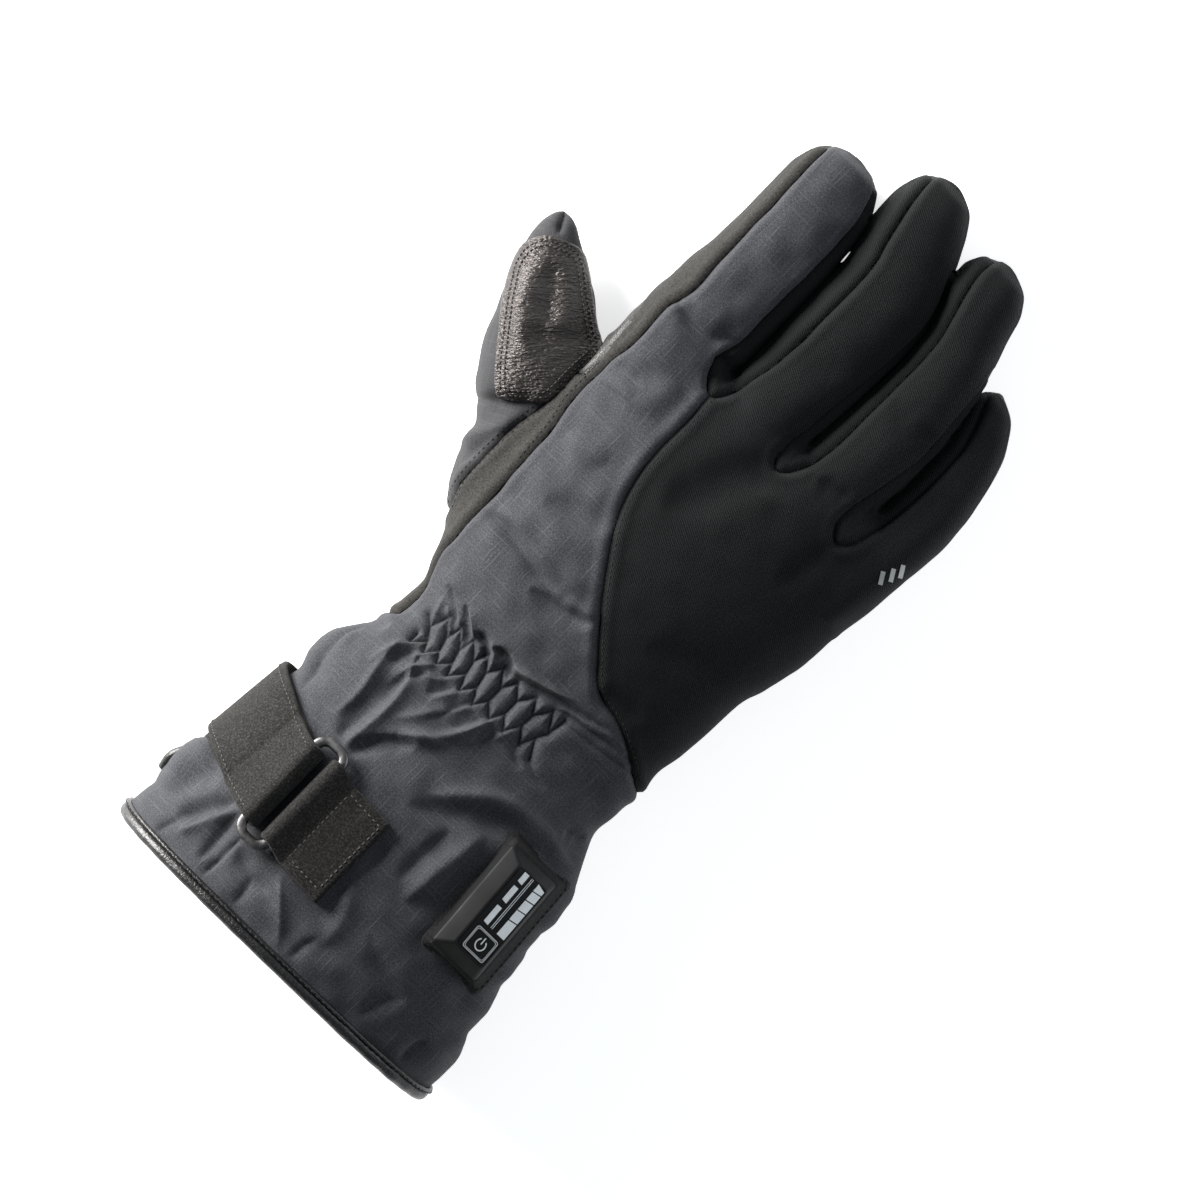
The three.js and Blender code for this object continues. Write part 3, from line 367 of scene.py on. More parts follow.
def refined(mesh, chosen):
    """A mesh with its chosen faces cut in four, and the faces beside them cut to match."""
    data, faces = mesh
    ends = np.sort(np.stack([faces, np.roll(faces, -1, 1)], 2), 2)
    keys, back = np.unique(ends.reshape(-1, 2) @ [1 << 32, 1], return_inverse=True)
    back = back.reshape(-1, 3)
    marked = np.zeros(len(keys), bool)
    marked[back[chosen]] = True
    number = len(data) + np.cumsum(marked) - 1
    new = keys[marked]
    data = np.concatenate([data, (data[new >> 32] + data[new & 0xFFFFFFFF]) / 2])
    cut = marked[back]
    count = cut.sum(1)
    middle = number[back]
    pieces = [faces[count == 0]]
    a, b, c = faces[count == 3].T
    p, q, r = middle[count == 3].T
    pieces += [np.stack(f, 1) for f in ((a, p, r), (p, b, q), (r, q, c), (p, q, r))]
    for number_cut in (1, 2):
        some = np.flatnonzero(count == number_cut)
        odd = np.argmax(cut[some] == (number_cut == 1), axis=1)
        first = odd if number_cut == 1 else (odd + 1) % 3
        a, b, c = (faces[some, (first + n) % 3] for n in range(3))
        p, q = (middle[some, (first + n) % 3] for n in range(2))
        split_faces = ((a, p, c), (p, b, c)) if number_cut == 1 else ((p, b, q), (a, p, q), (a, q, c))
        pieces += [np.stack(f, 1) for f in split_faces]
    return data, np.concatenate(pieces)


def compact(data, faces):
    """A mesh without its unused vertices."""
    used, back = np.unique(faces, return_inverse=True)
    return data[used], back.reshape(-1, 3)


def polygon_distance(outline, x, y):
    """Distance inside a closed outline, less than zero outside."""
    outline = np.asarray(outline, float)
    nearest = np.full(x.shape, 1e9)
    inside = np.zeros(x.shape, bool)
    for (x0, y0), (x1, y1) in zip(outline, np.roll(outline, -1, axis=0)):
        dx, dy = x1 - x0, y1 - y0
        t = np.clip(((x - x0) * dx + (y - y0) * dy) / (dx * dx + dy * dy + 1e-12), 0, 1)
        nearest = np.minimum(nearest, np.hypot(x - x0 - t * dx, y - y0 - t * dy))
        if y0 != y1:
            inside ^= ((y0 > y) != (y1 > y)) & (x < (y - y0) / dy * dx + x0)
    return np.where(inside, nearest, -nearest)


def rounded_path(points, step=1.0, closed=False):
    """Smooth path through points, at equal steps of its length."""
    points = np.asarray(points, float)
    if closed:
        points = np.concatenate([points[-1:], points, points[:2]])
    else:
        points = np.concatenate([2 * points[:1] - points[1:2], points, 2 * points[-1:] - points[-2:-1]])
    fine = []
    t = np.linspace(0, 1, 12, endpoint=False)[:, None]
    for p0, p1, p2, p3 in zip(points, points[1:], points[2:], points[3:]):
        fine.append(0.5 * (2 * p1 + (p2 - p0) * t + (2 * p0 - 5 * p1 + 4 * p2 - p3) * t ** 2
                           + (3 * p1 - p0 - 3 * p2 + p3) * t ** 3))
    fine = np.concatenate(fine + [points[-2:-1]])
    length = np.concatenate([[0], np.cumsum(np.linalg.norm(np.diff(fine, axis=0), axis=1))])
    places = np.linspace(0, length[-1], max(2, round(length[-1] / step) + 1))
    return np.stack([np.interp(places, length, fine[:, k]) for k in range(fine.shape[1])], 1)


# Seams, as points on the glove seen from above
NYLON_EDGE = [(-44.6, 113.2), (-45.2, 118), (-48.6, 128), (-49.2, 136), (-49.6, 150), (-50.2, 165),
              (-51.4, 185), (-52.9, 192), (-53.1, 200), (-52.6, 211), (-51.2, 225), (-51.8, 236),
              (-50.2, 241), (-48.8, 248), (-49.8, 262), (-50, 280), (-50.6, 300), (-50.2, 312)]
GUSSET_TAIL = [(-60, 113.6), (-44.8, 113.2), (-45.6, 106), (-48.6, 103.4), (-60, 103.4)]
THUMB_SEAM = [(-50.5, 124), (-53.5, 133), (-57.2, 141), (-60.2, 149), (-60.9, 160), (-60.3, 174),
              (-58.6, 184), (-57.8, 190), (-58.2, 200), (-58, 212), (-59.5, 220), (-59.5, 250)]
BACK_SEAM = [(-22, 240), (-21.6, 226), (-21, 214), (-21.1, 200), (-20, 190), (-17, 180), (-11.8, 170),
             (-5, 160), (2.4, 150), (10.6, 140.4), (19.4, 131.8), (30, 129.2), (36, 126.6), (45, 121.4),
             (52.4, 116.6), (66, 107)]
CROTCHES = {
    "index_middle": [(-22, 225.8), (-25, 228.8), (-26.6, 232.6), (-27, 238), (-25.6, 246), (-25.5, 262),
                     (-25.1, 285), (-26, 300), (-28.2, 308), (-31, 317), (-22, 340), (-19, 331), (-19, 322),
                     (-17.4, 312), (-15, 301), (-12.7, 291), (-12.5, 270), (-13.4, 250), (-15.4, 240),
                     (-17, 232), (-19.4, 227)],
    "middle_ring": [(10.4, 223.8), (8, 226.6), (7.9, 231), (9.4, 239), (10.5, 250), (12, 262), (13.4, 278),
                    (13.4, 290), (11, 300), (7.6, 309), (7, 334), (14, 326), (13.4, 315), (15, 306),
                    (17.6, 295), (19.2, 284), (19.1, 262), (18.8, 244), (17.6, 235), (15.8, 229), (13, 225)],
    "ring_little": [(41, 219.2), (38, 221.8), (36.4, 225.6), (37.4, 233), (40, 245), (42.2, 258),
                    (41.6, 272), (40.6, 284), (39, 296), (43, 298), (42.2, 290), (44.4, 284), (47.2, 276.6),
                    (49.2, 268), (49.6, 258), (49, 246), (47.8, 236), (46, 227.4), (44, 221.8)],
}
INDEX_SEAM = [(-50.4, 168), (-51.8, 185), (-53.4, 193), (-53.2, 210)]
SIDE_SEAM = 12.0
PALM_START = 118.0
# Stretch of the thumb side where the palm's leather is drawn up past the side seam, its height and its ramps
LEATHER_EDGE = (187.0, 242.0)
LEATHER_RISE = 17.5
LEATHER_RAMP = 16.0

THUMB_PATCH = [(-57.2, 212), (-63, 216), (-70, 221.2), (-80, 228.8), (-85, 230.3), (-91, 228.4),
               (-96, 225.2), (-98.6, 219), (-97.6, 212.6), (-94.6, 207.4), (-90.8, 201.4), (-86, 195),
               (-80, 187.2), (-74, 180.4), (-70.6, 178.2), (-67.4, 179.4), (-62, 184), (-57.6, 188.6),
               (-57.2, 200)]

# Folds of the cloth, seen from above. Their columns: height, reach on the left and on the right, sharpness
# (2 for a round fold and less for a crease), and points along the fold.
FOLDS = [
    (-3.2, (3.0, 4.2), 1.6, [(-29, 94), (-30.5, 84), (-31.5, 74), (-31, 64)]),
    (1.4, (2.4, 2.0), 1.4, [(-38, 100), (-37.6, 90), (-36, 78), (-37, 68)]),
    (1.8, (2.4, 2.2), 1.4, [(-31.5, 100), (-28, 93), (-26, 84), (-26, 76), (-28, 64)]),
    (-2.6, (3.0, 3.6), 1.6, [(-11, 79.5), (-17, 75.5), (-22, 71), (-24.5, 62)]),
    (1.8, (2.2, 3.0), 1.4, [(-4, 85.5), (-12, 80.8), (-20, 76), (-25.6, 69), (-28, 62)]),
    (1.2, (2.2, 2.2), 1.4, [(-8, 99), (-12, 93), (-18, 85), (-23, 80)]),
    (1.3, (2.2, 2.6), 1.4, [(0.5, 99), (-5, 88), (-12, 81.5), (-18, 77.5)]),
    (-2.2, (3.4, 4.4), 1.7, [(44, 82), (35, 82.6), (28, 81), (20, 76), (12, 71), (5, 66.6), (0, 64)]),
    (1.5, (4.0, 3.0), 1.8, [(54, 84.5), (44, 86), (32, 87), (20, 84.5), (10, 77), (2, 70)]),
    (-0.6, (3, 3), 2.0, [(12, 58), (18, 59), (26, 60)]),
    (-2.4, (3.4, 3.0), 1.6, [(-40, 27), (-45, 19), (-51, 9)]),
    (1.4, (2.2, 2.2), 1.4, [(-46.5, 6), (-43, 15), (-38, 25)]),
    (-1.5, (2.2, 2.2), 1.4, [(-37, 24), (-36.4, 14), (-36, 4)]),
    (-1.0, (0.9, 1.4), 1.1, [(-31, 20), (-31.2, 10), (-31.6, 1)]),
    (1.0, (1.6, 2.6), 1.2, [(-14, 20), (-8, 13.5), (-3, 8.5), (2, 2)]),
    (-1.4, (4, 4), 2.0, [(-51, 30), (-56, 22), (-58, 14)]),
    (1.0, (3, 3), 2.0, [(-56, 34), (-60, 26), (-62, 18)]),
    (-1.6, (2.6, 1.8), 1.5,
     [(-48.5, 147.4), (-44, 148.8), (-38, 148.9), (-30, 147.4), (-20, 145.8), (-12, 146)]),
    (0.8, (2.4, 2.4), 1.8, [(-46, 151.6), (-38, 152.4), (-28, 150.6), (-14, 149)]),
    (-2.0, (2.4, 3.2), 1.5, [(-20, 140.6), (-12, 141.6), (-5, 143.4), (3, 145.8)]),
    (0.8, (2.6, 2.0), 1.8, [(-10, 145), (-4, 146.8), (2, 149)]),
    (-1.2, (5, 5), 2.0, [(-36, 164), (-28, 168.4), (-20, 171.8), (-13, 174.4)]),
    (-0.7, (2.4, 2.4), 1.8, [(-52, 211.6), (-46, 211.8), (-39, 212.4)]),
    (0.9, (4, 4), 2.0, [(-46, 183), (-38, 186), (-30, 187)]),
    (0.8, (5, 5), 2.0, [(-36, 205), (-32, 213), (-31, 222)]),
    (-1.4, (7, 7), 2.0, [(8.5, 225), (3, 212), (-3, 198), (-7, 188)]),
    (-1.0, (6, 6), 2.0, [(9.5, 231), (10, 222), (10.5, 213)]),
    (-1.1, (2.6, 3.2), 1.6, [(22, 230.6), (28, 231.6), (36, 233)]),
    (-0.9, (4, 4), 2.0, [(40, 219), (39, 207), (36, 196)]),
    (-1.0, (4, 4), 1.8, [(18, 130.6), (26, 133.6), (36, 135.4)]),
    (-0.8, (6, 6), 2.0, [(20, 153), (34, 160), (46, 172)]),
    (-2.0, (2.4, 3.4), 1.5, [(-50.6, 240.8), (-46, 239.2), (-40, 238.4), (-32, 240), (-27, 245)]),
    (0.8, (3, 3), 2.0, [(-47, 244), (-40, 244), (-32, 246)]),
    (-1.6, (2.0, 2.4), 1.4, [(-29, 235.4), (-25, 236.4), (-18.6, 237)]),
    (-0.7, (5, 5), 2.0, [(-16, 262), (-4, 258), (8, 262)]),
    (-0.6, (4, 4), 2.0, [(22, 266), (32, 262), (42, 266)]),
    (-2.2, (2.4, 3.2), 1.5, [(-76, 172.4), (-70, 176), (-65, 180), (-57, 186.5)]),
    (1.4, (2.6, 3.0), 1.6, [(-69.5, 158), (-66, 165), (-61, 175)]),
    (-1.2, (2.6, 2.6), 1.6, [(-64.5, 154), (-63.5, 164), (-62.6, 174)]),
    (-1.6, (1.4, 2.2), 1.2, [(-50.5, 95.5), (-52.2, 88), (-52.6, 80), (-51.6, 72), (-50, 66)]),
    (-1.5, (2.2, 1.4), 1.2, [(48.6, 96), (46.6, 94), (42, 93.4)]),
    (-1.4, (1.0, 1.0), 1.2, [(-97.4, 238), (-95.4, 234), (-92.6, 229)]),
    (-1.0, (4, 4), 2.0, [(-88, 222), (-82, 214), (-74, 206)]),
    (0.8, (4, 4), 2.0, [(-92, 214), (-84, 203), (-76, 194)]),
    (-0.8, (3, 3), 2.0, [(-80, 200), (-72, 203), (-64, 210)]),
    (1.6, (6, 6), 2.0, [(-58, 38), (-61, 30), (-62, 22), (-62, 12)]),
    (-0.6, (2.5, 2.5), 1.6, [(-54, 15), (-60, 12.5), (-68, 11)]),
    (1.8, (3, 3), 2.0, [(-51.5, 94), (-54.5, 82), (-54, 70)]),
    (-1.6, (2.5, 2.5), 1.6, [(-44, 101), (-50, 99), (-56, 97)]),
    (1.2, (5, 5), 2.0, [(58, 82), (59.5, 72), (60, 63)]),
    (-0.7, (3, 3), 1.6, [(50, 56), (57, 57), (63, 55)]),
    (-0.5, (3, 3), 1.6, [(54, 41), (62, 42), (70, 41)]),
    (-0.6, (3, 3), 1.6, [(52, 22), (62, 24), (72, 23)]),
    (0.6, (4, 4), 2.0, [(56, 32), (64, 32), (71, 31)]),
    (1.6, (3.4, 3.4), 1.8, [(24.5, 74), (22.5, 62), (21, 50), (20.5, 40)]),
    (-1.2, (2.6, 2.6), 1.6, [(16, 68), (15, 56), (14.5, 44)]),
    (-1.2, (2.4, 3.2), 1.5, [(-30, 16), (-22, 13), (-12, 12.6)]),
    (0.8, (3, 3), 1.8, [(4, 34), (10, 24), (12, 12)]),
    (-0.8, (3, 3), 1.8, [(20, 26), (30, 20), (44, 18)]),
    (-0.9, (2.0, 3.0), 1.5, [(36, 4), (38, 12), (43, 18)]),
    (-0.8, (1.4, 2.0), 1.3, [(-18, 2), (-18.6, 8), (-20, 13)]),
    (-0.8, (1.4, 2.0), 1.3, [(7, 2), (7.4, 8), (9, 13)]),
    (-0.9, (1.4, 2.0), 1.3, [(55, 2), (55, 8), (57, 14)]),
    (-0.8, (1.4, 2.0), 1.3, [(-52, 1), (-51, 6), (-49, 10)]),
]

# Gathered wrist: two zigzag rows of gathering thread, with creases between them. The mesh is finer above the
# level inside the box, which is given by its low x and y and its high x and y.
UPPER_ZIGZAG = [(-38, 112), (-35.2, 109.6), (-32.6, 115.6), (-28.8, 110.6), (-27.3, 115.8), (-23, 110.6),
                (-21.6, 115.8), (-17, 111), (-15.2, 116.2), (-11.4, 111), (-8.4, 116), (-4.6, 110.8),
                (-1.6, 115.8), (2.2, 111.4), (6, 116.8), (9, 111.4), (12.8, 117.2), (16.8, 110.8),
                (17.8, 117.6)]
LOWER_ZIGZAG = [(-36.6, 105.5), (-36.2, 102), (-32.6, 106), (-30.6, 102.4), (-27.4, 106.5), (-25, 102.6),
                (-21.6, 106.5), (-19.8, 102.4), (-16, 107), (-13.6, 101.6), (-10.4, 106.4), (-7.4, 101),
                (-4.6, 106), (-0.4, 101.6), (2.2, 106.6), (5.6, 101.8), (8.6, 107.4), (12.4, 102.6),
                (14.8, 107.6), (18.2, 101.2)]
GATHER_BOX = (-44.0, 92.0, 24.0, 124.0)
GATHER_LEVEL = 25.0

# Folds that run out of the gathered cells, in the same columns as the other folds
GATHER_FOLDS = [
    (1.6, (1.6, 2.0), 1.5, [(-33, 105.6), (-36, 100), (-39, 94), (-41, 87)]),
    (-1.6, (1.6, 2.4), 1.4, [(-32, 102), (-34.4, 98), (-36.6, 92)]),
    (1.3, (1.2, 1.6), 1.4, [(-27.6, 105.6), (-30, 101.2), (-32.4, 97.6)]),
    (-1.0, (0.9, 1.2), 1.2, [(-30.2, 101), (-29.8, 98), (-29.6, 95.4)]),
    (1.5, (1.3, 2.2), 1.4, [(-22, 105.6), (-26, 100.2), (-29.6, 95.6), (-31.4, 91), (-32.8, 86)]),
    (-1.2, (1.4, 2.0), 1.4, [(-24.6, 99), (-27.4, 94), (-29, 88)]),
    (1.3, (1.5, 2.2), 1.5, [(-16.6, 105.6), (-20, 99.6), (-24, 96.6), (-27, 95)]),
    (-1.2, (1.4, 2.0), 1.4, [(-15, 101.4), (-18, 97), (-21, 93.6)]),
    (1.2, (1.5, 2.2), 1.5, [(-10.6, 105.6), (-13, 101), (-15.6, 96.6), (-18.6, 92)]),
    (-2.0, (1.5, 2.0), 1.3, [(-8, 101.6), (-10.4, 96.4), (-12.4, 91), (-15.4, 86.4)]),
    (1.0, (1.5, 2.4), 1.6, [(-4.8, 105), (-7, 100), (-10, 94.6)]),
    (-1.0, (1.4, 2.4), 1.4, [(-1.4, 101), (-4, 95.6), (-7, 90.6)]),
    (1.9, (1.2, 2.2), 1.4, [(1.9, 105.6), (0.5, 100.5), (-1.5, 95), (-4.4, 89.4), (-9, 84.6)]),
    (-1.2, (1.6, 2.4), 1.4, [(4.6, 101.4), (3, 97), (0.6, 92.6)]),
    (1.2, (1.2, 2.0), 1.5, [(8.4, 106.6), (6.6, 101), (5.6, 97)]),
    (-1.6, (1.2, 2.0), 1.4, [(9.6, 105.2), (12, 101.2), (15.4, 98.4), (19, 97.4)]),
    (-1.0, (1.2, 1.8), 1.4, [(17.6, 103.4), (19.2, 100.6), (23.5, 98.6), (29, 98)]),
    (1.0, (1.0, 1.2), 1.4, [(-38.4, 119.6), (-36.6, 116), (-35.8, 112.6)]),
    (1.1, (0.9, 1.0), 1.4, [(-35.4, 118.4), (-32, 115.4), (-29.4, 112)]),
    (-2.0, (1.3, 1.5), 1.7, [(-40, 123.4), (-36, 121.6), (-31, 118), (-28.8, 113)]),
    (1.5, (0.9, 1.0), 1.3, [(-38, 123), (-33, 120), (-29, 117.1), (-25.6, 115), (-24.2, 111.6)]),
    (-2.2, (1.4, 1.6), 1.9, [(-31.6, 122.4), (-27, 119), (-23.8, 115.8), (-23.6, 112)]),
    (1.6, (0.9, 1.0), 1.3, [(-30, 122.6), (-24.6, 119.1), (-21.4, 116)]),
    (-2.8, (1.4, 1.6), 1.8, [(-23, 118.4), (-19, 118.2), (-16, 116.4), (-15, 113.4)]),
    (1.2, (1.0, 1.2), 1.4, [(-18.4, 119.6), (-15.4, 118.6), (-12.4, 116), (-12, 112.6)]),
    (-3.2, (1.3, 1.9), 1.9, [(-15.4, 118.8), (-11, 119.6), (-7.4, 118.2), (-5, 114)]),
    (1.6, (1.4, 0.8), 1.2, [(-8, 117.8), (-3, 119.2), (3, 120.8), (9, 122.4), (16, 124.4)]),
    (-3.4, (1.0, 2.0), 1.5, [(-7, 116.6), (-1, 117.6), (5, 118.8), (12, 121), (20, 122.9), (31, 125.4)]),
    (1.2, (1.0, 1.2), 1.4, [(12.6, 119.6), (18, 121), (25, 122.4), (33, 124)]),
    (-2.2, (0.9, 1.8), 1.4, [(12.6, 118), (17, 119.4), (24, 120.6), (35, 122.6), (44, 123)]),
    (-1.6, (0.7, 1.3), 1.2, [(17.6, 117.2), (24, 117.6), (34, 118.8), (44, 120.4), (52, 121)]),
]


def nearest_on(path, x, y):
    """Distance to a path seen from above, which side of it, and how far along it from 0 to 1."""
    best = np.full(len(x), 1e9)
    side = np.zeros(len(x))
    place = np.zeros(len(x))
    count = len(path) - 1
    for i in range(count):
        (x0, y0), (x1, y1) = path[i], path[i + 1]
        dx, dy = x1 - x0, y1 - y0
        t = np.clip(((x - x0) * dx + (y - y0) * dy) / (dx * dx + dy * dy), 0, 1)
        distance = np.hypot(x - x0 - t * dx, y - y0 - t * dy)
        closer = distance < best
        best = np.where(closer, distance, best)
        side = np.where(closer, dx * (y - y0) - dy * (x - x0), side)
        place = np.where(closer, (i + t) / count, place)
    return best, side, place


def fold_height(x, y, folds):
    """Height that folds add at places seen from above."""
    height = np.zeros(len(x))
    for size, (reach_left, reach_right), sharp, points in folds:
        path = rounded_path(points, 2.5)
        margin = 3 * max(reach_left, reach_right)
        low, high = path.min(0) - margin, path.max(0) + margin
        near = np.flatnonzero((x > low[0]) & (x < high[0]) & (y > low[1]) & (y < high[1]))
        if not len(near):
            continue
        best, side, place = nearest_on(path, x[near], y[near])
        fade = np.clip(4.8 * place * (1 - place), 0, 1)
        reach = np.where(side > 0, reach_left, reach_right) * (0.4 + 0.6 * fade)
        height[near] += size * fade * np.exp(-(best / reach) ** sharp)
    return height


def ripples(points):
    """Slow unevenness of padded cloth, about 1 high."""
    rng = np.random.default_rng(SEED)
    total = np.zeros(len(points))
    for _ in range(16):
        way = rng.normal(size=3)
        way *= 2 * math.pi / rng.uniform(9, 28) / np.linalg.norm(way)
        total += np.sin(points @ way + rng.uniform(0, 2 * math.pi))
    return total / 2.8


def in_gather_box(x, y):
    low_x, low_y, high_x, high_y = GATHER_BOX
    return (x > low_x) & (x < high_x) & (y > low_y) & (y < high_y)


def gather_distance(x, y):
    """Distance to the gathering threads and to the creases between their cells."""
    paths = [UPPER_ZIGZAG, LOWER_ZIGZAG]
    paths += [[upper, lower] for upper, lower in zip(UPPER_ZIGZAG[1::2], LOWER_ZIGZAG[2::2])]
    best = np.full(len(x), 1e9)
    near = np.flatnonzero(in_gather_box(x, y))
    for path in paths:
        best[near] = np.minimum(best[near], nearest_on(path, x[near], y[near])[0])
    return best


def hem_line(z):
    """Edge of the cuff: the palm side is drawn back."""
    return 5.6 * np.clip(1 - z / 60, 0, 1) ** 1.7


def cut_panels(points, faces):
    """The skin's panels by name, cut along the seams."""
    rest = (points, faces)
    panels = {}

    def take(name, value):
        nonlocal rest
        panels[name], rest = split(rest, value(*rest[0].T))

    thumb = np.array(THUMB_SEAM + [(-150, 250), (-150, 124)], float)
    take("thumb", lambda x, y, z: polygon_distance(thumb, x, y))

    def palm(x, y, z):
        first, last = LEATHER_EDGE
        risen = np.clip(np.minimum(y - first, last - y) / LEATHER_RAMP, 0, 1) * (x < -50)
        return np.minimum(SIDE_SEAM + LEATHER_RISE * risen - z, y - PALM_START)

    take("palm", palm)
    for name, outline in CROTCHES.items():
        outline = rounded_path(outline, 1.5, closed=True)
        take("fourchette_" + name, lambda x, y, z: polygon_distance(outline, x, y))
    edge = rounded_path(NYLON_EDGE, 2.0)
    gusset = np.concatenate([edge, [(-50.2, 330), (-90, 330), (-90, 113.2)]])
    take("side_gusset", lambda x, y, z: np.maximum(
        polygon_distance(gusset, x, y), polygon_distance(np.array(GUSSET_TAIL, float), x, y)))
    seam = rounded_path(BACK_SEAM, 2.0)
    back = np.concatenate([[(-22, 345)], seam, [(100, 107), (100, 345)]])
    take("softshell_back", lambda x, y, z: polygon_distance(back, x, y))
    panels["nylon_shell"] = rest
    return panels


def border(faces):
    """Open edges of a mesh, in the direction of their faces."""
    edges = faces[:, [0, 1, 1, 2, 2, 0]].reshape(-1, 2)
    keys = np.sort(edges, 1) @ [1 << 32, 1]
    _, back, count = np.unique(keys, return_inverse=True, return_counts=True)
    return edges[count[back.reshape(-1)] == 1]


def point_tree(points):
    tree = KDTree(len(points))
    for i, point in enumerate(points):
        tree.insert(point, i)
    tree.balance()
    return tree


def seam_tree(panels):
    """Tree of the places on the seams. The open hem is no seam."""
    spots = []
    hem_reach = 12.0
    for points, faces in panels.values():
        rim = np.unique(border(faces))
        spots.append(points[rim[points[rim, 1] > hem_reach]])
    return point_tree(np.concatenate(spots))


def thickened(points, faces, depth):
    """A panel with its border turned in by a depth."""
    normals = vertex_normals(points, faces)
    edges = border(faces)
    rim, back = np.unique(edges, return_inverse=True)
    inner = points[rim] - normals[rim] * depth
    a, b = edges[:, 0], edges[:, 1]
    c, d = (back.reshape(-1, 2) + len(points)).T
    skirt = np.concatenate([np.stack([b, a, c], 1), np.stack([b, c, d], 1)])
    return np.concatenate([points, inner]), np.concatenate([faces, skirt])


# Materials by name
materials = {}


def add_mesh(name, points, faces, material, slot, replaces=(), weave=None, seam=None, padded=None,
             smooth=True):
    """A piece from points in glove millimetres."""
    mesh = bpy.data.meshes.new(name)
    places = np.asarray(points, float) * MM + ORIGIN
    if isinstance(faces, np.ndarray):
        mesh.vertices.add(len(places))
        mesh.vertices.foreach_set("co", places.astype(np.float32).ravel())
        mesh.loops.add(faces.size)
        mesh.loops.foreach_set("vertex_index", faces.astype(np.int32).ravel())
        mesh.polygons.add(len(faces))
        mesh.polygons.foreach_set("loop_start", np.arange(0, faces.size, faces.shape[1], dtype=np.int32))
    else:
        mesh.from_pydata([tuple(p) for p in places], [], [tuple(f) for f in faces])
    mesh.update()
    mesh.validate()
    if smooth:
        mesh.shade_smooth()
    if weave is not None:
        layer = mesh.uv_layers.new(name="weave")
        corner = np.zeros(len(mesh.loops), np.int32)
        mesh.loops.foreach_get("vertex_index", corner)
        layer.data.foreach_set("uv", weave[corner].astype(np.float32).ravel())
    # The seam attribute carries painted shade at the seams and gathers for the materials.
    if seam is not None:
        mesh.attributes.new("seam", "FLOAT", "POINT").data.foreach_set("value", seam.astype(np.float32))
    piece = bpy.data.objects.new(name, mesh)
    bpy.context.scene.collection.objects.link(piece)
    mesh.materials.append(materials[material])
    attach(piece, "root")
    if replaces:
        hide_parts(*replaces)


def weave_coordinates(points):
    """Cloth coordinates in millimetres: round the limb from its top, and along it."""
    x, y, z = points.T
    fields, values = [], []

    def add(limb, along, across, shift):
        centre, half, widest, up, _ = section(limb, along)
        angle = np.arctan2((across - centre) / half, (z - widest) / up)
        arc = np.zeros(len(x))
        steps = 12
        for i in range(steps):
            part = angle * (i + 0.5) / steps
            arc += np.hypot(half * np.cos(part), up * np.sin(part)) * angle / steps
        values.append(np.stack([centre + arc + shift, along], 1))

    for limb in (BODY, *FINGERS.values()):
        squareness = BACK_SQUARENESS if limb is BODY else FINGER_SQUARENESS
        fields.append(limb_field(limb, y, x, z, squareness, squareness) + 1e3 * (y < limb["y"][0]))
        add(limb, y, x, 0.0)
    along, out = thumb_coordinates(x, y)
    fields.append(limb_field(THUMB, along, out, z, FINGER_SQUARENESS, FINGER_SQUARENESS, TIP_ROUNDING)
                  + 1e3 * (along < THUMB["y"][0]))
    add(THUMB, along, out, 300.0)
    nearest = np.argmin(np.abs(np.stack(fields)), axis=0)
    return np.stack(values)[nearest, np.arange(len(x))]


# Height of the folds, the deepest that they go, and depth and reach of the grooves at threads and at seams
FOLD_GAIN = 1.6
DEEPEST = 3.3
THREAD_GROOVE = (2.3, 1.25)
SEAM_GROOVE = (1.3, 1.0)


def skin_height(points, normals, distance, uneven):
    """How far the skin stands out from its plain shape: folds on the back, and a groove at each seam."""
    x, y, _ = points.T
    facing = np.clip((normals[:, 2] + 0.4) / 0.5, 0, 1)
    folds = FOLD_GAIN * fold_height(x, y, FOLDS) + fold_height(x, y, GATHER_FOLDS)
    depth, reach = THREAD_GROOVE
    folds -= depth * np.exp(-(gather_distance(x, y) / reach) ** 1.1)
    height = facing * np.where(folds < 0, DEEPEST * np.tanh(folds / DEEPEST), folds)
    height += uneven * ripples(points)
    depth, reach = SEAM_GROOVE
    height -= depth * np.exp(-(distance / reach) ** 1.5)
    height += 0.3 * np.exp(-((distance - 3.0) / 1.5) ** 2)
    return height


def painted_seam_shade(points, distance):
    """Painted shade: 1 at a seam, a gathering thread or a crease between the gathered cells, and less away
    from it. At the gathering threads it is partly the thread's own dark colour.
    """
    threads = gather_distance(points[:, 0], points[:, 1])
    gather_thread_and_shade = 0.75 * np.exp(-(threads / 0.4) ** 2) * (points[:, 2] > GATHER_LEVEL)
    return np.maximum(np.exp(-(distance / 0.45) ** 2), gather_thread_and_shade)


# Material, slot, share of padding and unevenness of each panel
PANEL_FINISH = {
    "nylon_shell": ("nylon", "nylon", 0.6, 0.24),
    "softshell_back": ("softshell", "softshell", 0.7, 0.07),
    "palm": ("palm_leather", "leather", 0.6, 0.12),
    "side_gusset": ("stretch", "stretch", 0.5, 0.1),
    "fourchette_index_middle": ("softshell", "softshell", 0.5, 0.07),
    "fourchette_middle_ring": ("softshell", "softshell", 0.5, 0.07),
    "fourchette_ring_little": ("softshell", "softshell", 0.5, 0.07),
    "thumb": ("thumb_cloth", "thumb_cloth", 0.6, 0.16),
}
# How deep a panel's border is turned in, and the distance past which a seam has no effect
BORDER_DEPTH = 2.0
SEAM_REACH = 6.0


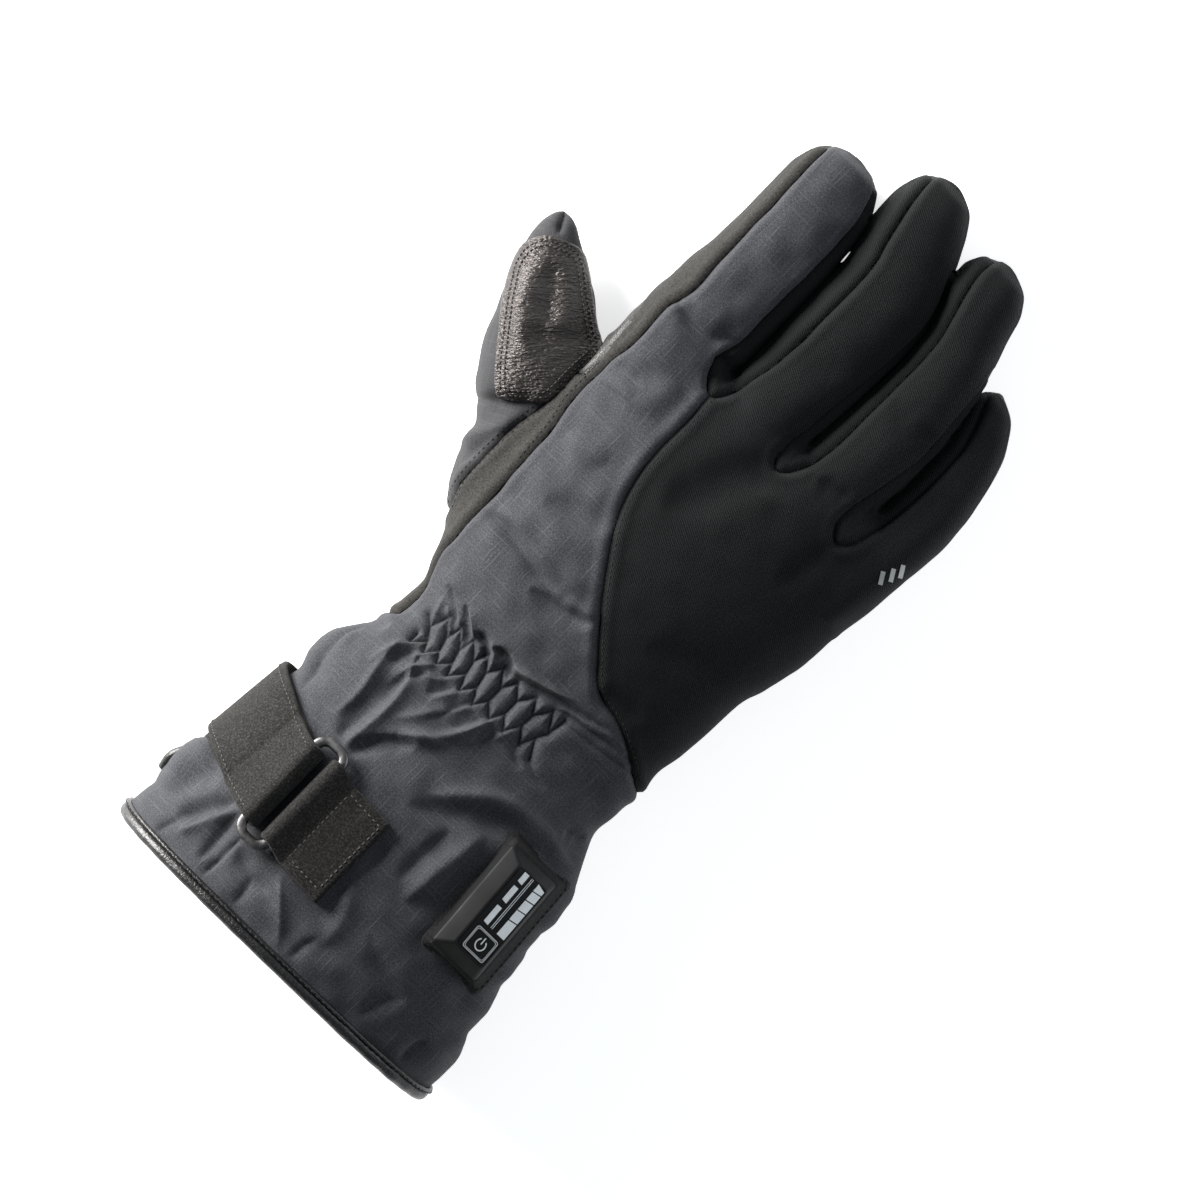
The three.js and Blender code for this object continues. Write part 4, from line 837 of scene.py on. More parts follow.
def make_skin():
    """The glove's panels. Returns their points and faces by name."""
    shell = traced_skin(VOXEL, 0.0)
    shell = split(shell, shell[0][:, 1] - hem_line(shell[0][:, 2]))[0]
    plain = cut_panels(*shell)
    normals = vertex_normals(*shell)
    tree = point_tree(shell[0])
    seams = seam_tree(plain)
    panels = {}
    for name, (data, faces) in plain.items():
        if name == "nylon_shell":
            x, y, z = data[faces].mean(1).T
            data, faces = refined((data, faces), in_gather_box(x, y) & (z > GATHER_LEVEL))
        material, slot, fill, uneven = PANEL_FINISH[name]
        out = normals[[tree.find(point)[1] for point in data]]
        distance = np.minimum([seams.find(point)[2] for point in data], SEAM_REACH)
        moved = data + out * skin_height(data, out, distance, uneven)[:, None]
        moved[:, 2] = np.maximum(moved[:, 2], 0.0)
        panels[name] = (moved, faces)
        rim = np.unique(border(faces))
        weave = weave_coordinates(data)
        weave = np.concatenate([weave, weave[rim]])
        # Painted shade at the seams and gathers; the turned-in border is fully darkened as painted shade.
        seam = painted_seam_shade(data, distance)
        seam = np.concatenate([seam, np.ones(len(rim))])
        solid, solid_faces = thickened(moved, faces, BORDER_DEPTH)
        add_mesh(name + "_cloth", solid, solid_faces, material, slot, [name], weave, seam, fill)
    return panels


def offset_line(points, inset):
    """A smooth path through points, moved to its left by an inset."""
    line = rounded_path(points, 1.0)
    ahead = unit(np.gradient(line, axis=0))
    return line + np.stack([-ahead[:, 1], ahead[:, 0]], 1) * inset


def make_seam_stitches(ground):
    """Rows of small stitches beside the long seams of the back and of the thumb side."""
    rows = []
    thumb = THUMB_SEAM[2:8]
    for points, inset in ((BACK_SEAM[1:-1], 1.5), (thumb, -1.3), (thumb, 1.3), (INDEX_SEAM, 1.2)):
        path, normals = ground.path(offset_line(points, inset)[::3], 1.0)
        rows.append(stitch_row(path, normals, length=1.1, gap=1.0, width=0.36, lift=0.0))
    add_mesh("seam_stitches", *joined(rows), "dark_thread", "softshell")


def make_stripes(ground):
    """Three reflective stripes beside the little finger's root."""
    half_width, half_length, lift = 0.75, 2.2, 0.22
    ahead, side = np.array([-0.5, 0.86]), np.array([0.86, 0.5])
    parts = []
    for middle in ((59.0, 221.6), (60.8, 224.6), (62.2, 227.6)):
        rings = []
        for along in np.linspace(-half_length, half_length, 7):
            ring = []
            for across in (-half_width, half_width):
                place, out = ground.at(*(middle + along * ahead + across * side))
                ring.append(place + out * lift)
            rings.append(ring)
        parts.append(lofted(rings, closed_rings=False, capped=False))
    points, faces = joined(parts)
    add_mesh("reflective_stripes", points, [f[::-1] for f in faces], "reflective", "softshell")


def make_thumb_patch(panel):
    """Leather patch laid on the upper side of the thumb, with two rows of stitches round it."""
    points, faces = panel
    outline = rounded_path(THUMB_PATCH, 1.5, closed=True)

    def inside(data):
        return np.minimum(polygon_distance(outline, data[:, 0], data[:, 1]), data[:, 2] - 8)

    data = np.concatenate([points, vertex_normals(points, faces)], axis=1)
    (data, faces), _ = split((data, faces), inside(points))
    # The patch sinks at its inner row of stitches and towards its edge.
    edge = np.clip(inside(data), 0, 2)
    lift = 0.95 - 0.5 * np.exp(-((edge - 1.5) / 0.6) ** 2) - 0.35 * np.exp(-(edge / 0.35) ** 2)
    top = data[:, :3] + data[:, 3:6] * lift[:, None]
    solid, solid_faces = thickened(top, faces, 1.3)
    add_mesh("thumb_patch_leather", solid, solid_faces, "grained_leather", "leather", ["thumb_patch"])
    ground = Ground(top, faces)
    ahead = np.roll(outline, -1, 0) - np.roll(outline, 1, 0)
    side = unit(np.stack([-ahead[:, 1], ahead[:, 0]], 1))
    side *= np.sign(((outline.mean(0) - outline) * side).sum(1).mean())
    rows = []
    for inset in (1.5, 3.0):
        line = outline + side * inset
        path, normals = ground.path(np.concatenate([line, line[:1]])[::2], 1.0)
        rows.append(stitch_row(path, normals, length=1.15, gap=0.5, width=0.55, lift=0.05))
    add_mesh("thumb_patch_stitches", *joined(rows), "leather_thread", "leather")


def make_lining():
    """Inner face of the padding, seen through the open cuff."""
    points, faces = traced_skin(LINING_VOXEL, WALL)
    inner, _ = split((points, faces), points[:, 1] - hem_line(points[:, 2]) - 0.5)
    add_mesh("lining", inner[0], inner[1][:, ::-1], "lining", "softshell")


def lofted(rings, closed_rings=True, capped=True, closed_path=False):
    """Faces and points of a surface through rings of equal length."""
    rings = np.asarray(rings, float)
    count, size = rings.shape[:2]
    faces = []
    last = count if closed_path else count - 1
    around = size if closed_rings else size - 1
    for i in range(last):
        for j in range(around):
            a, b = i * size + j, i * size + (j + 1) % size
            step = ((i + 1) % count) * size
            faces.append((a, b, step + (j + 1) % size, step + j))
    if capped and not closed_path:
        faces.append(tuple(range(size))[::-1])
        faces.append(tuple((count - 1) * size + j for j in range(size)))
    return rings.reshape(-1, 3), faces


def joined(parts):
    """One list of points and faces from several."""
    points, faces, start = [], [], 0
    for part_points, part_faces in parts:
        points.append(np.asarray(part_points, float))
        faces += [tuple(start + i for i in face) for face in part_faces]
        start += len(part_points)
    return np.concatenate(points), faces


def rounded_rectangle(width, length, radius, steps=6):
    """Points round a rectangle with round corners, anticlockwise."""
    centres = [(1, -1, -90), (1, 1, 0), (-1, 1, 90), (-1, -1, 180)]
    ring = []
    for sx, sy, start in centres:
        for i in range(steps + 1):
            angle = math.radians(start + 90 * i / steps)
            ring.append((sx * (width / 2 - radius) + radius * math.cos(angle),
                         sy * (length / 2 - radius) + radius * math.sin(angle)))
    return np.array(ring)


class Ground:
    """The glove's surface, seen from above, for laying thin things on it."""

    def __init__(self, points, faces):
        self.tree = BVHTree.FromPolygons([tuple(p) for p in points], [tuple(f) for f in faces])

    def at(self, x, y):
        """Point on the surface and the direction out of it."""
        place, normal, _, _ = self.tree.ray_cast(Vector((x, y, 120.0)), Vector((0, 0, -1)))
        if place is None:
            place, normal, _, _ = self.tree.find_nearest(Vector((x, y, 20.0)))
        return np.array(place), np.array(normal)

    def path(self, outline, step):
        """Places and directions out of the surface along a path."""
        found = [self.at(x, y) for x, y in rounded_path(outline, step)]
        normals = np.array([normal for _, normal in found])
        smooth = normals.copy()
        smooth[1:-1] = (normals[:-2] + 2 * normals[1:-1] + normals[2:]) / 4
        return np.array([place for place, _ in found]), unit(smooth)


# Shares of a stitch's length, with its thickness and its height there
STITCH_PROFILE = [(0, 0.55, -0.6), (0.12, 0.9, 0.15), (0.5, 1, 0.6), (0.88, 0.9, 0.15), (1, 0.55, -0.6)]


def stitch_row(path, normals, length, gap, width, lift=0.1):
    """Thread lying along a path: short rounded stitches with their ends sunk in the cloth."""
    distance = np.concatenate([[0], np.cumsum(np.linalg.norm(np.diff(path, axis=0), axis=1))])

    def at(values, place):
        return np.array([np.interp(place, distance, values[:, k]) for k in range(3)])

    parts = []
    sides = 6
    angles = np.arange(sides) * 2 * math.pi / sides
    for place in np.arange(gap / 2, distance[-1] - length, length + gap):
        rings = []
        for share, size, rise in STITCH_PROFILE:
            centre = at(path, place + share * length)
            out = unit(at(normals, place + share * length))
            side = unit(np.cross(at(path, place + length) - at(path, place), out))
            centre = centre + out * (lift + rise * width / 2)
            ways = [math.cos(a) * side + math.sin(a) * out for a in angles]
            rings.append([centre + width / 2 * size * way for way in ways])
        parts.append(lofted(rings))
    return joined(parts)


def tube(path, radius, sides=12):
    """Round bar along a path."""
    ahead = unit(np.gradient(path, axis=0))
    side = unit(np.cross(ahead, (0.0, 0.0, 1.0)))
    top = np.cross(side, ahead)
    angles = np.arange(sides) * 2 * math.pi / sides
    rings = [[p + radius * (math.cos(a) * s + math.sin(a) * t) for a in angles]
             for p, s, t in zip(path, side, top)]
    return lofted(rings)


def body_point(angle, y, offset):
    """Point on the plain body round its section: angle 0 is the little finger's side, 90 degrees the top."""
    centre, half, widest, up, down = section(BODY, y)
    squareness = BACK_SQUARENESS if math.sin(angle) >= 0 else PALM_SQUARENESS
    reach = up if math.sin(angle) >= 0 else down
    cosine = math.copysign(abs(math.cos(angle)) ** (2 / squareness), math.cos(angle))
    sine = math.copysign(abs(math.sin(angle)) ** (2 / squareness), math.sin(angle))
    return np.array([centre + cosine * (half + offset), y, max(widest + sine * (reach + offset), -offset)])


def make_hem():
    """Leather binding rolled over the cuff's edge, a little uneven, with a lip and a row of stitches."""
    rng = np.random.default_rng(SEED)
    steps = 480
    angles = np.arange(steps) * 2 * math.pi / steps
    wave = sum(rng.normal() * np.cos(angles * n + rng.uniform(0, 6.28)) / 3 for n in range(5, 40, 2))
    outside, inside, front, back = 1.5, WALL + 0.6, -4.7, -0.5
    rings = []
    for angle, ripple in zip(angles, wave):
        top = body_point(angle, 0.0, 0.0)
        shift = float(hem_line(top[2]))
        profile = []
        for x, y in rounded_rectangle(outside + inside, back - front, 1.9, 5):
            offset = (outside - inside) / 2 + x
            place = (front + back) / 2 + y * (1 + 0.02 * ripple)
            inner = body_point(angle, 0.0, offset + 0.07 * ripple)
            profile.append((inner[0], place + shift, inner[2]))
        rings.append(profile)
    points, faces = lofted(rings, closed_path=True)
    add_mesh("hem_binding_roll", points, [f[::-1] for f in faces], "binding", "binding", ["hem_binding"])
    profile = [(0.0, -0.9), (1.1, -0.95), (1.55, -0.75), (1.6, -0.3), (1.45, 0.15), (0.9, 0.45), (0.0, 0.4)]
    lip = []
    for angle in angles:
        shift = float(hem_line(body_point(angle, 0.0, 0.0)[2]))
        lip.append([body_point(angle, 0.0, offset) + (0, y + shift, 0) for offset, y in profile])
    points, faces = lofted(lip, closed_path=True)
    add_mesh("hem_binding_lip", points, [f[::-1] for f in faces], "binding", "binding")
    path, normals = [], []
    for angle in angles:
        here = body_point(angle, 0.0, 1.5)
        path.append(here + (0, -0.55 + float(hem_line(here[2])), 0))
        normals.append(body_point(angle, 0.0, 2) - body_point(angle, 0.0, 1))
    path, normals = np.array(path + path[:1]), unit(np.array(normals + normals[:1]))
    row = stitch_row(path, normals, length=1.7, gap=0.8, width=0.42)
    add_mesh("hem_stitches", *row, "dark_thread", "binding")


# Adjusting strap, its loop and its tab, and how far the loop's bars lie from its middle
STRAP_WIDTH = 32.6
STRAP_THICKNESS = 2.0
STRAP_LIFT = 0.3
LOOP_SIZE = (14.4, 44.0)
LOOP_WIRE = 3.3
STRAP_BAR = -5.1
TAB_BAR = 5.3


def band(places, across, half_width, thickness, side):
    """A soft strap of even thickness. Its inner face follows places, and it is as wide as across says."""
    outline = [(-1, 0), (-1, 0.4), (-0.985, 0.8), (-0.96, 1.0), (-0.9, 1.02), (-0.6, 1.02), (-0.2, 1.03),
               (0.2, 1.03), (0.6, 1.02), (0.9, 1.02), (0.96, 1.0), (0.985, 0.8), (1, 0.4), (1, 0)]
    path = rounded_path(np.concatenate([places, across], axis=1), 1.0)
    places, across = path[:, :3], unit(path[:, 3:])
    out = unit(np.cross(np.gradient(places, axis=0), across) * side)
    rings = [[p + a * (half_width * u) + o * (thickness * v) for u, v in outline]
             for p, a, o in zip(places, across, out)]
    points, faces = lofted(rings)
    if side > 0:
        faces = [face[::-1] for face in faces]
    return (points, faces), (places, across, out)


def round_bar(node, bar, radius, angles):
    """Places on a circle round one of the loop's bars, and the direction along it."""
    middle, across, along, out = node
    centre = middle + across * bar
    places = [centre + radius * (math.cos(a) * across + math.sin(a) * out) for a in np.radians(angles)]
    return np.array(places), np.tile(along, (len(places), 1))


def strap_path(start, offset, length, climb):
    """Places round the gauntlet from its top over the thumb side and under it, at an offset from it."""
    angle, y = start
    places, across = [], []
    step, reach, climb_ends = 3.0, 12.0, 42.0
    for i in range(int(length / step)):
        places.append(body_point(angle, y, offset))
        across.append(unit(body_point(angle, y + reach, offset) - body_point(angle, y - reach, offset)))
        around = body_point(angle + 0.01, y, offset) - body_point(angle - 0.01, y, offset)
        angle += step / (np.linalg.norm(around) / 0.02)
        y += climb * step * max(0, 1 - i * step / climb_ends)
    return np.array(places), np.array(across)


def angle_at(x, y):
    """Angle round the body's section of a place on its back."""
    centre, half, *_ = section(BODY, y)
    cosine = max(-1, min(1, (x - centre) / half))
    return math.acos(math.copysign(abs(cosine) ** (BACK_SQUARENESS / 2), cosine))


def node_frame(name):
    """Middle of a flat node and its directions across, along and out of the glove, in glove millimetres."""
    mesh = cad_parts[name].data
    points = np.array([v.co for v in mesh.vertices], float).reshape(-1, 3)
    points = (points - ORIGIN) / MM
    middle = (points.min(0) + points.max(0)) / 2
    _, _, axes = np.linalg.svd(points - points.mean(0), full_matrices=False)
    along, out = axes[0], axes[2]
    along = along if along[1] > 0 else -along
    out = out if out[2] > 0 else -out
    across = np.cross(along, out)
    flat = (points - middle) @ np.stack([across, along, out]).T
    middle = middle + ((flat.min(0) + flat.max(0)) / 2) @ np.stack([across, along, out])
    return middle, across, along, out


def placed(points, node):
    """Points given across, along and out of a flat node, in glove millimetres."""
    middle, *ways = node
    return middle + np.asarray(points, float) @ np.stack(ways)


def make_loop():
    """Flattened metal loop with round corners."""
    node = node_frame("strap_loop")
    width, length = LOOP_SIZE
    corner_radius, half_height = 4.2, 1.2
    ring = rounded_rectangle(width - LOOP_WIRE, length - LOOP_WIRE, corner_radius, 10)
    centre = np.column_stack([ring, np.zeros(len(ring))])
    ahead = unit(np.roll(centre, -1, 0) - np.roll(centre, 1, 0))
    side = np.column_stack([ahead[:, 1], -ahead[:, 0], ahead[:, 2]])
    squareness = 2 / 3.2
    rings = []
    for place, outward in zip(centre, side):
        profile = []
        for a in np.arange(16) * 2 * math.pi / 16:
            u = math.copysign(abs(math.cos(a)) ** squareness, math.cos(a)) * LOOP_WIRE / 2
            v = math.copysign(abs(math.sin(a)) ** squareness, math.sin(a)) * half_height
            profile.append(place + outward * u + np.array([0, 0, v]))
        rings.append(placed(profile, node))
    add_mesh("strap_loop_bar", *lofted(rings, closed_path=True), "loop_metal", "loop_metal", ["strap_loop"])


def make_binding_end():
    """End of the binding that stands out of the cuff's thumb side, beside a fold of the cloth."""
    middle = [(-57.0, 33.8, 30), (-60.8, 29.6, 32), (-64.0, 25.4, 32), (-65.6, 21.4, 31), (-65.0, 17.2, 28)]
    points, faces = tube(rounded_path(middle, 0.8), radius=1.75)
    add_mesh("binding_end", points, faces, "binding", "binding")


def make_strap():
    """Suede strap round the thumb side, folded round the loop's left bar, with stitches along each edge."""
    loop = node_frame("strap_loop")
    half = STRAP_WIDTH / 2
    low = strap_path((angle_at(-33, 40.0), 40.0), STRAP_LIFT, length=108, climb=0.40)
    top = strap_path((angle_at(-43, 44.0), 44.0), STRAP_LIFT + STRAP_THICKNESS, length=57, climb=0.42)
    wrap = round_bar(loop, STRAP_BAR, 2.3, [-80, -45, 0, 40, 75, 100])
    first, _ = band(*low, half, STRAP_THICKNESS, side=-1)
    places, across = (np.concatenate(pair) for pair in zip(wrap, top))
    second, (line, sideways, out) = band(places, across, half, STRAP_THICKNESS, side=-1)
    add_mesh("strap_band", *joined([first, second]), "suede", "suede", ["strap"])
    rows = []
    for side in (-1, 1):
        row = line + out * (STRAP_THICKNESS + 0.02) + sideways * side * (half - 2.2)
        rows.append(stitch_row(row[9:-2], out[9:-2], length=1.15, gap=0.85, width=0.36))
    add_mesh("strap_stitches", *joined(rows), "pale_thread", "suede")


def make_tab(ground):
    """Suede tab folded round the loop's right bar and box-stitched to the cuff."""
    loop = node_frame("strap_loop")
    half = STRAP_WIDTH / 2 + 0.9
    start, middle, slant = -20.0, 38.9, 0.055

    def laid(xs, lift):
        """Places along the tab's middle, above the cuff by a lift, and the directions across it."""
        places, across = [], []
        for x in xs:
            y = middle - slant * (x - start)
            ends = [ground.at(x, y + side * half * 0.8)[0] for side in (-1, 0, 1)]
            way = unit(ends[2] - ends[0])
            out = unit(np.cross([1.0, 0, -0.1], way))
            height = max(end @ out for end in ends)
            places.append(ends[1] + out * (height - ends[1] @ out + lift))
            across.append(way)
        return np.array(places), np.array(across)

    wrap = round_bar(loop, TAB_BAR, 1.9, [255, 225, 190, 150, 115, 85])
    top = laid(np.linspace(-17, 0.2, 8), lift=1.75)
    places, across = (np.concatenate(pair) for pair in zip(wrap, top))
    upper, _ = band(places, across, half, thickness=1.5, side=1)
    lower, _ = band(*laid(np.linspace(-21, 0.9, 8), lift=0.1), half + 0.1, thickness=1.6, side=1)
    points, faces = joined([lower, upper])
    add_mesh("strap_tab_fold", points, faces, "suede", "suede", ["strap_tab"])
    tree = Ground(points, [f for f in faces if len(f) == 4])
    box = [(-15.6, 53.4), (-1.4, 52.4), (-1.8, 24.4), (-15.6, 25.2), (-15.6, 53.4)]
    stitches = []
    for (x0, y0), (x1, y1) in zip(box, box[1:]):
        path, normals = tree.path([(x0, y0), ((x0 + x1) / 2, (y0 + y1) / 2), (x1, y1)], 1.0)
        stitches.append(stitch_row(path, normals, length=1.2, gap=0.9, width=0.42, lift=0.02))
    add_mesh("tab_stitches", *joined(stitches), "pale_thread", "suede")


def bars(outlines, node, low, high):
    """Thin raised marks over outlines on a flat node."""
    parts = []
    for outline in outlines:
        rings = [placed(np.column_stack([outline, np.full(len(outline), z)]), node) for z in (low, high)]
        parts.append(lofted(rings))
    return joined(parts)


def frame_outline(width, length, radius, line):
    """Faces of a thin rounded frame, as short four-sided outlines."""
    outer = rounded_rectangle(width, length, radius, 4)
    inner = rounded_rectangle(width - 2 * line, length - 2 * line, radius - line, 4)
    count = len(outer)
    return [np.array([outer[i], outer[(i + 1) % count], inner[(i + 1) % count], inner[i]])
            for i in range(count)]


# Heat control, in its own directions from the middle of its face
CONTROL_SHIFT = (-2.4, -1.0)
CONTROL_WIDTH = 22.2
CONTROL_LENGTH = 40.6
CONTROL_BEVEL = 3.8
CONTROL_RISE = 4.6
# Marks on its face: ends of the short bars, places of the thin lines, ends of the level bars' left and right
# sides, and the middle of the button
SHORT_BARS = [(-4.9, 2.2), (4.2, 10.4), (11.9, 15.9)]
THIN_LINES = [-0.45, 0.25]
LEVEL_BARS = [((-4.9, 0.9), (-4.9, 1.5)), ((1.3, 5.1), (1.9, 5.7)), ((5.5, 9.2), (6.1, 9.8)),
              ((9.6, 12.8), (10.2, 13.4)), ((13.2, 16.0), (13.8, 15.2))]
BUTTON_CENTRE = (0.7, -10.95)


def make_control(ground):
    """Heat control: a stitched backing, near-black as painted shade round the housing, a bevelled rubber
    housing, and its face with plain level bars.
    """
    middle, across, along, out = node_frame("control_face")
    middle = middle + across * CONTROL_SHIFT[0] + along * CONTROL_SHIFT[1]
    node = (middle, across, along, out)
    width, length, bevel, rise = CONTROL_WIDTH, CONTROL_LENGTH, CONTROL_BEVEL, CONTROL_RISE

    def rings(levels, radius):
        """Rounded outlines, each with its inset from the housing's edge and its height over the face."""
        found = []
        for inset, z in levels:
            ring = rounded_rectangle(width - 2 * inset, length - 2 * inset, radius)
            found.append(placed(np.column_stack([ring, np.full(len(ring), z)]), node))
        return found

    shell = rings(((0.6, -rise - 4.5), (0.2, -rise - 0.9), (0.0, -rise - 0.5), (0.05, -rise - 0.1),
                   (0.35, -rise + 0.3), (bevel - 0.35, -0.4), (bevel - 0.05, -0.12), (bevel + 0.3, 0.0),
                   (bevel + 0.55, 0.0), (bevel + 0.62, -0.08), (bevel + 0.66, -0.3)), 1.3)
    add_mesh("control_housing_shell", *lofted(shell), "control_rubber", "control_rubber",
             ["control_housing"])
    levels = ((0.72, -1.0), (0.72, -0.2), (0.8, -0.06), (1.1, -0.02))
    face = rings([(bevel + inset, z) for inset, z in levels], 1.0)
    add_mesh("control_face_plate", *lofted(face), "control_gloss", "control_gloss", ["control_face"])
    marks = []
    for y0, y1 in SHORT_BARS:
        marks.append(np.array([(-4.1, y0 + 0.2), (-1.9, y0), (-1.9, y1), (-4.1, y1 - 0.1)]))
    for x in THIN_LINES:
        marks.append(np.array([(x, -4.9), (x + 0.2, -4.9), (x + 0.2, 15.8), (x, 15.8)]))
    for (left_low, left_high), (right_low, right_high) in LEVEL_BARS:
        marks.append(np.array([(2.85, left_low), (6.45, right_low), (6.45, right_high), (2.85, left_high)]))
    centre = np.array(BUTTON_CENTRE)
    for wide, high, line in ((10.4, 8.5, 0.22), (9.3, 7.5, 0.15)):
        marks += [quad + centre for quad in frame_outline(wide, high, 1.0, line)]
    centre += (0.2, -0.1)
    inner_radius, outer_radius = 1.79, 2.21
    turns = np.radians(np.linspace(125, 415, 25))
    for a, b in zip(turns, turns[1:]):
        corners = ((inner_radius, a), (outer_radius, a), (outer_radius, b), (inner_radius, b))
        marks.append(np.array([(r * math.cos(turn), r * math.sin(turn)) for r, turn in corners]) + centre)
    marks.append(np.array([(-0.2, 0.1), (0.2, 0.1), (0.2, 2.7), (-0.2, 2.7)]) + centre)
    add_mesh("control_marks", *bars(marks, node, -0.08, 0.06), "mark", "control_gloss", smooth=False)

    def laid(half_width, half_length, lift):
        """A rounded outline round the housing, laid on the cloth."""
        ring = []
        for u, v in rounded_rectangle(2, 2, 0.12, 8):
            flat = placed([(u * half_width, v * half_length, -rise)], node)[0]
            place, way = ground.at(flat[0], flat[1])
            ring.append(place + way * lift)
        return np.array(ring)

    inner = placed([(u * (width / 2 - 0.4), v * (length / 2 - 0.4), -rise - 0.4)
                    for u, v in rounded_rectangle(2, 2, 0.12, 8)], node)
    # The backing patch is real, but it reaches past the housing in near-black colour, darker than the nylon:
    # painted shade round the housing.
    half_width, half_length = width / 2 + 3.8, length / 2 + 3.4
    outer = laid(half_width, half_length, 0.0)
    edge = laid(half_width - 0.15, half_length - 0.15, 1.1)
    middle_ring = laid(half_width - 1.2, half_length - 1.2, 1.3)
    patch = [outer, edge, middle_ring, (middle_ring + inner) / 2 - 0.2 * out, inner]
    add_mesh("control_backing_patch", *lofted(patch), "backing", "nylon", ["control_backing"])
    line = np.concatenate([middle_ring, middle_ring[:1]])
    normals = np.tile(out, (len(line), 1))
    row = stitch_row(line, normals, length=1.5, gap=0.8, width=0.5)
    add_mesh("control_stitches", *row, "dark_thread", "nylon")


class Shader:
    """Nodes of one material, with its surface at the end."""

    def __init__(self, name, **sockets):
        material = bpy.data.materials.new(name)
        material.use_nodes = True
        self.nodes, self.links = material.node_tree.nodes, material.node_tree.links
        self.surface = self.nodes["Principled BSDF"]
        for socket, value in sockets.items():
            self.surface.inputs[socket.replace("_", " ").title().replace("Ior", "IOR")].default_value = value
        materials[name] = material

    def add(self, kind, inputs, **settings):
        node = self.nodes.new("ShaderNode" + kind)
        for setting, value in settings.items():
            setattr(node, setting, value)
        for key, value in inputs.items():
            if isinstance(value, bpy.types.NodeSocket):
                self.links.new(value, node.inputs[key])
            else:
                node.inputs[key].default_value = value
        return node.outputs

    def place(self, scale=(1, 1, 1), angle=0.0, weave=False):
        """Coordinates in millimetres, stretched and turned."""
        if weave:
            source, factor = self.add("UVMap", {}, uv_map="weave")[0], 1
        else:
            source, factor = self.add("TexCoord", {})["Object"], 1 / MM
        size = tuple(s * factor for s in scale)
        return self.add("Mapping", {"Vector": source, "Scale": size, "Rotation": (0, 0, angle)})[0]

    def noise(self, place, scale, detail=3.0, roughness=0.55):
        inputs = {"Vector": place, "Scale": scale, "Detail": detail, "Roughness": roughness}
        return self.add("TexNoise", inputs)[0]

    def threads(self, place, period, across):
        """Parallel threads, from 0 between them to 1 on top."""
        inputs = {"Vector": place, "Scale": math.pi / 10 / period, "Distortion": 0.5, "Detail": 1.0}
        return self.add("TexWave", inputs, bands_direction=across)[1]

    def ramp(self, value, *stops):
        """Colours or levels at stops of a value."""
        node = self.nodes.new("ShaderNodeValToRGB")
        self.links.new(value, node.inputs[0])
        ramp = node.color_ramp
        while len(ramp.elements) < len(stops):
            ramp.elements.new(0.5)
        for element, (position, colour) in zip(ramp.elements, stops):
            element.position = position
            element.color = (*colour, 1) if isinstance(colour, tuple) else (colour, colour, colour, 1)
        return node.outputs[0]

    def mix(self, factor, one, other, blend="MIX"):
        outputs = self.add("Mix", {0: factor, 6: one, 7: other}, data_type="RGBA", blend_type=blend)
        return outputs[2]

    def math(self, operation, one, other=0.0):
        return self.add("Math", {0: one, 1: other}, operation=operation)[0]

    def bump(self, height, distance, strength):
        return self.add("Bump", {"Height": height, "Distance": distance * MM, "Strength": strength})[0]

    def finish(self, colour, roughness, normal):
        """Link the surface. Its colour is darkened towards black by the seam attribute, painted shade at the
        seams and gathers.
        """
        # Painted shade: the seam attribute mixes the colour towards black.
        seam = self.add("Attribute", {}, attribute_name="seam")["Fac"]
        colour = self.mix(self.math("MULTIPLY", seam, 0.85), colour, (0.001, 0.001, 0.001, 1))
        self.links.new(colour, self.surface.inputs["Base Color"])
        self.links.new(roughness, self.surface.inputs["Roughness"])
        self.links.new(normal, self.surface.inputs["Normal"])


def make_nylon(name, dark, middle, light, thread):
    """Slubbed plain weave: short streaks both ways, and a few long thicker threads."""
    shader = Shader(name, specular_ior_level=0.18, sheen_weight=0.06, sheen_roughness=0.5)
    across = shader.noise(shader.place((0.75 / thread, 2.3 / thread, 1), weave=True), 1.0, 2.0)
    along = shader.noise(shader.place((2.3 / thread, 0.75 / thread, 1), weave=True), 1.0, 2.0)
    streaks = shader.math("MULTIPLY", shader.math("ADD", across, along), 0.5)
    slubs = [shader.ramp(shader.noise(shader.place(scale, weave=True), 1.0, 1.0), (0.60, 0.0), (0.72, 1.0))
             for scale in ((0.06, 1.9, 1), (1.9, 0.06, 1))]
    slubs = shader.math("MAXIMUM", *slubs)
    base = shader.ramp(streaks, (0.36, dark), (0.5, middle), (0.66, light))
    base = shader.mix(shader.math("MULTIPLY", slubs, 0.55), base, (*light, 1))
    soft = shader.noise(shader.place(), 0.02, 3.0)
    base = shader.mix(0.4, base, shader.ramp(soft, (0.3, 0.6), (0.7, 1.0)), "MULTIPLY")
    height = shader.math("ADD", streaks, shader.math("MULTIPLY", slubs, 0.3))
    rough = shader.ramp(streaks, (0.3, 0.85), (0.8, 0.65))
    shader.finish(base, rough, shader.bump(height, 0.35 * thread, 0.9))


def make_softshell():
    """Black softshell with a fine twill."""
    shader = Shader("softshell", specular_ior_level=0.12, sheen_weight=0.03, sheen_roughness=0.5)
    twill = shader.threads(shader.place(angle=0.5, weave=True), 0.7, "Y")
    specks = shader.noise(shader.place((1, 1.6, 1), weave=True), 1.5, 3.0, 0.65)
    height = shader.math("ADD", shader.math("MULTIPLY", twill, 0.35), specks)
    base = shader.ramp(height, (0.45, (0.0014, 0.0018, 0.0019)), (0.85, (0.0066, 0.0078, 0.0082)))
    shader.finish(base, shader.ramp(specks, (0.3, 0.85), (0.8, 0.68)), shader.bump(height, 0.4, 0.9))


